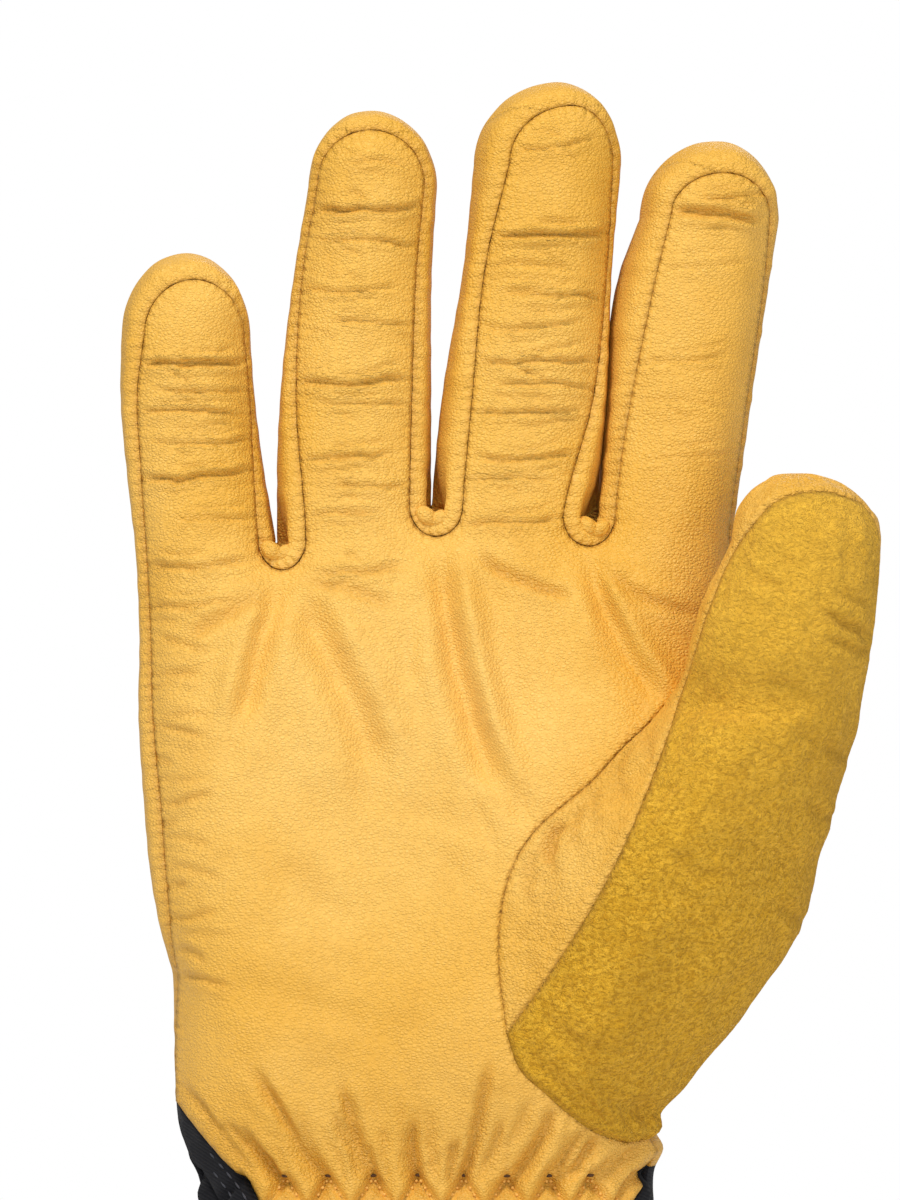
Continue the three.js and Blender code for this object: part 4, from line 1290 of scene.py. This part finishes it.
def capsule(start, end, thick, bow, sides=6):
    rings = 4
    start, end = np.asarray(start, float), np.asarray(end, float)
    way = (end - start) / max(np.linalg.norm(end - start), 1e-6)
    out = np.array([0.0, -1.0, 0.0])
    side = np.cross(way, out)
    side /= max(np.linalg.norm(side), 1e-6)
    up = np.cross(side, way)
    points, faces = [], []
    for i in range(rings + 1):
        t = i / rings
        middle = start + (end - start) * t + out * bow * math.sin(math.pi * t)
        girth = thick / 2 * max(0.15, math.sin(math.pi * (0.04 + 0.92 * t))) ** 0.5
        for j in range(sides):
            turn = 2 * math.pi * j / sides
            points.append(middle + girth * (side * math.cos(turn) + up * math.sin(turn)))
    for i in range(rings):
        for j in range(sides):
            a, b = i * sides + j, i * sides + (j + 1) % sides
            faces += [(a, b, b + sides), (a, b + sides, a + sides)]
    last = rings * sides
    for j in range(1, sides - 1):           # both ends closed
        faces += [(0, j + 1, j), (last, last + j, last + j + 1)]
    return np.array(points), np.array(faces), {"fold": np.zeros(len(points))}


def bead(centre, size, rings=8, sides=12):
    points, faces = [], []
    for i in range(rings + 1):
        a = math.pi * i / rings
        for j in range(sides):
            b = 2 * math.pi * j / sides
            way = (math.sin(a) * math.cos(b), math.sin(a) * math.sin(b), math.cos(a))
            points.append([c + half * w for c, half, w in zip(centre, size, way)])
    for i in range(rings):
        for j in range(sides):
            a, b = i * sides + j, i * sides + (j + 1) % sides
            faces += [(a, a + sides, b + sides), (a, b + sides, b)]
    return np.array(points), np.array(faces), {"fold": np.zeros(len(points))}


threadParts = []
for k in range(len(peakX) * 2 - 2):         # each limb of the zigzag
    topX = peakX[(k + 1) // 2]
    lowX = (peakX[k // 2] + peakX[k // 2 + 1]) / 2
    for j in range(sewing["perLimb"]):
        ends = []
        for t in (j / sewing["perLimb"] + sewing["end"], (j + 1) / sewing["perLimb"] - sewing["end"]):
            x = topX + (lowX - topX) * t
            z = wrist["bandTop"] - wrist["bandDepth"] * t
            ends.append((x, palmFront.under(x, z) - sewing["sunk"], z))
        if wrist["sewnFrom"] < ends[0][0] < wrist["sewnTo"]:
            threadParts.append(capsule(*ends, sewing["thread"], sewing["bow"]))
# the needle holes are dark beads: painted shade inside each hole
holeParts = []
holeZ = wrist["bandTop"] + 0.5
for x in peakX[(peakX > wrist["sewnFrom"]) & (peakX < wrist["sewnTo"])]:
    holeParts.append(bead((x, palmFront.under(x, holeZ) + sewing["sunk"], holeZ), sewing["hole"]))

knot = {                                    # two folded lumps of leather at the foot of each gap
    "size": (1.15, 0.85, 0.82),             # half sizes, as shares of its radius
    "radius": 1.95,
    "lumps": [(-1.15, 0.35, 1.0), (1.2, -0.1, 0.88)],       # shift to the side, shift up, share of the size
    "uneven": 0.10,
}
knotParts = []
for name in ("crotch1", "crotch2", "crotch3"):
    column = np.nonzero(columnKind == name)[0]
    middle = (column[0] + column[-1]) // 2
    spot = gridPoints[int(np.argmin(np.abs(rollTop[:, middle]))), middle]
    for side, up, share in knot["lumps"]:
        lump, lumpFaces, _ = bead((0, 0, 0), [knot["radius"] * k * share for k in knot["size"]], 14, 22)
        bumps = np.array([noise.noise(Vector(v) * 0.9 + Vector((side, 3, 1))) for v in lump])
        lump = lump * (1 + knot["uneven"] * bumps)[:, None]
        tilt = 0.55 * side
        turned = np.stack([lump[:, 0] * math.cos(tilt) - lump[:, 2] * math.sin(tilt), lump[:, 1],
                           lump[:, 0] * math.sin(tilt) + lump[:, 2] * math.cos(tilt)], 1)
        still = np.zeros(len(lump))
        # painted shade: darker where the two lumps of each knot meet
        fields = {"fold": 0.7 * np.exp(-np.abs(lump[:, 0] + side * 0.9) / 0.35), "seamFar": still + 9.0,
                  "seamRun": still, "sewn": still, "wrinkle": still + 0.3}
        knotParts.append((turned + spot + (side, -0.25, up), lumpFaces, fields))

darkSewing = {
    "rows": (1.6, 4.2),                     # how far outside the leather's edge each row runs
    "step": 2.3,                            # length of a stitch and its gap
    "stitch": (0.15, 0.8),                  # where in its step a stitch starts and ends
    "thread": 0.42,
    "bow": 0.12,
    "clear": 3.6,                           # the rows stop this far short of the wrist's side
}
darkParts = []
for side, edge in (("left", edgeLeft), ("right", edgeRight)):
    for shift in darkSewing["rows"]:
        row = evenly(edge + (np.sign(edge[-1, 0]) * shift, 0), darkSewing["step"])
        for start, stop in zip(row[:-1], row[1:]):
            spots = [start + (stop - start) * t for t in darkSewing["stitch"]]
            if abs(spots[0][0]) < abs(float(tableAt(hand[side], spots[0][1]))) - darkSewing["clear"]:
                ends = [(x, cuffFront.under(x, z, True) - sewing["sunk"], z) for x, z in spots]
                darkParts.append(capsule(*ends, darkSewing["thread"], darkSewing["bow"], 5))

knots = addPiece("crotchKnots", *joinUp(*knotParts), goldLeather, "gold_leather", [], 0)
threads = addPiece("wristThreads", *joinUp(*threadParts), goldThread, "gold_thread", [], 0)
holes = addPiece("needleHoles", *joinUp(*holeParts), brownThread, "brown_thread", [], 0)
darkStitches = addPiece("cuffStitches", *joinUp(*darkParts), darkThread, "dark_cloth", [], 0)

# stage, light and camera

stageSet = {
    "floorZ": -62.0,
    "floorRadius": 620.0,
    "floorColour": (0.9, 0.9, 0.9),
    "seen": 1.0,                            # how white the world looks, and how much light it gives
    "lit": 0.42,
    "aim": (4.45, 0, 107.3),
    "distance": 1400.0,
    "seenHeight": 223.4,
    "sensor": 24.0,
}
lamps = {                                   # place, what it shines at, width, power, colour
    "keyLight": ((-300, -720, 1150), (5, 0, 150), 420, 11.2, (1, 0.985, 0.96)),
    "frontLight": ((60, -1500, 420), (0, 0, 90), 420, 4.2, (1, 1, 1)),
    "fillLight": ((760, -1000, 60), (0, 0, 90), 700, 2.6, (0.97, 0.98, 1)),
    "rimLight": ((200, 900, 700), (0, 0, 100), 500, 1.5, (1, 1, 1)),
}


def floorLook():
    look = Look("floorWhite")
    slow = look.noise(3.0, 2.0)
    colour = look.mixed(slow, stageSet["floorColour"], tuple(c * 0.98 for c in stageSet["floorColour"]))
    return look.done(colour, 0.9, slow, 0.0001)


bpy.ops.mesh.primitive_circle_add(vertices=96, radius=stageSet["floorRadius"] * mm, fill_type="NGON",
                                  location=(0, 0, stageSet["floorZ"] * mm))
floor = bpy.context.object
floor.name = "floor"
floor.data.materials.append(floorLook())

world = Look("world", bpy.data.worlds)
bpy.context.scene.world = world.material
lit = world.node("ShaderNodeBackground", {}, {"Color": (0.97, 0.98, 1.0, 1), "Strength": stageSet["lit"]})
seen = world.node("ShaderNodeBackground", {}, {"Color": (1, 1, 1, 1), "Strength": stageSet["seen"]})
direct = world.node("ShaderNodeLightPath", out="Is Camera Ray")
both = world.node("ShaderNodeMixShader", {}, {0: direct, 1: lit, 2: seen})
world.node("ShaderNodeOutputWorld", {}, {"Surface": both})

for name, (place, aim, size, power, colour) in lamps.items():
    lamp = bpy.data.lights.new(name, "AREA")
    lamp.shape = "DISK"
    lamp.size = size * mm
    lamp.energy = power
    lamp.color = colour
    thing = bpy.data.objects.new(name, lamp)
    thing.location = Vector(place) * mm
    thing.rotation_euler = (Vector(aim) - Vector(place)).to_track_quat("-Z", "Y").to_euler()
    bpy.context.scene.collection.objects.link(thing)

camera = bpy.data.cameras.new("camera")
viewer = bpy.data.objects.new("camera", camera)
bpy.context.scene.collection.objects.link(viewer)
bpy.context.scene.camera = viewer
aimX, _, aimZ = stageSet["aim"]
viewer.location = Vector((aimX, -stageSet["distance"], aimZ)) * mm
viewer.rotation_euler = (math.pi / 2, 0, 0)
camera.sensor_fit = "VERTICAL"
camera.sensor_height = stageSet["sensor"]
camera.lens = stageSet["sensor"] * stageSet["distance"] / stageSet["seenHeight"]
camera.clip_end = 20
bpy.context.scene.view_settings.view_transform = "Standard"
bpy.context.scene.view_settings.look = "None"

print("stage ready")
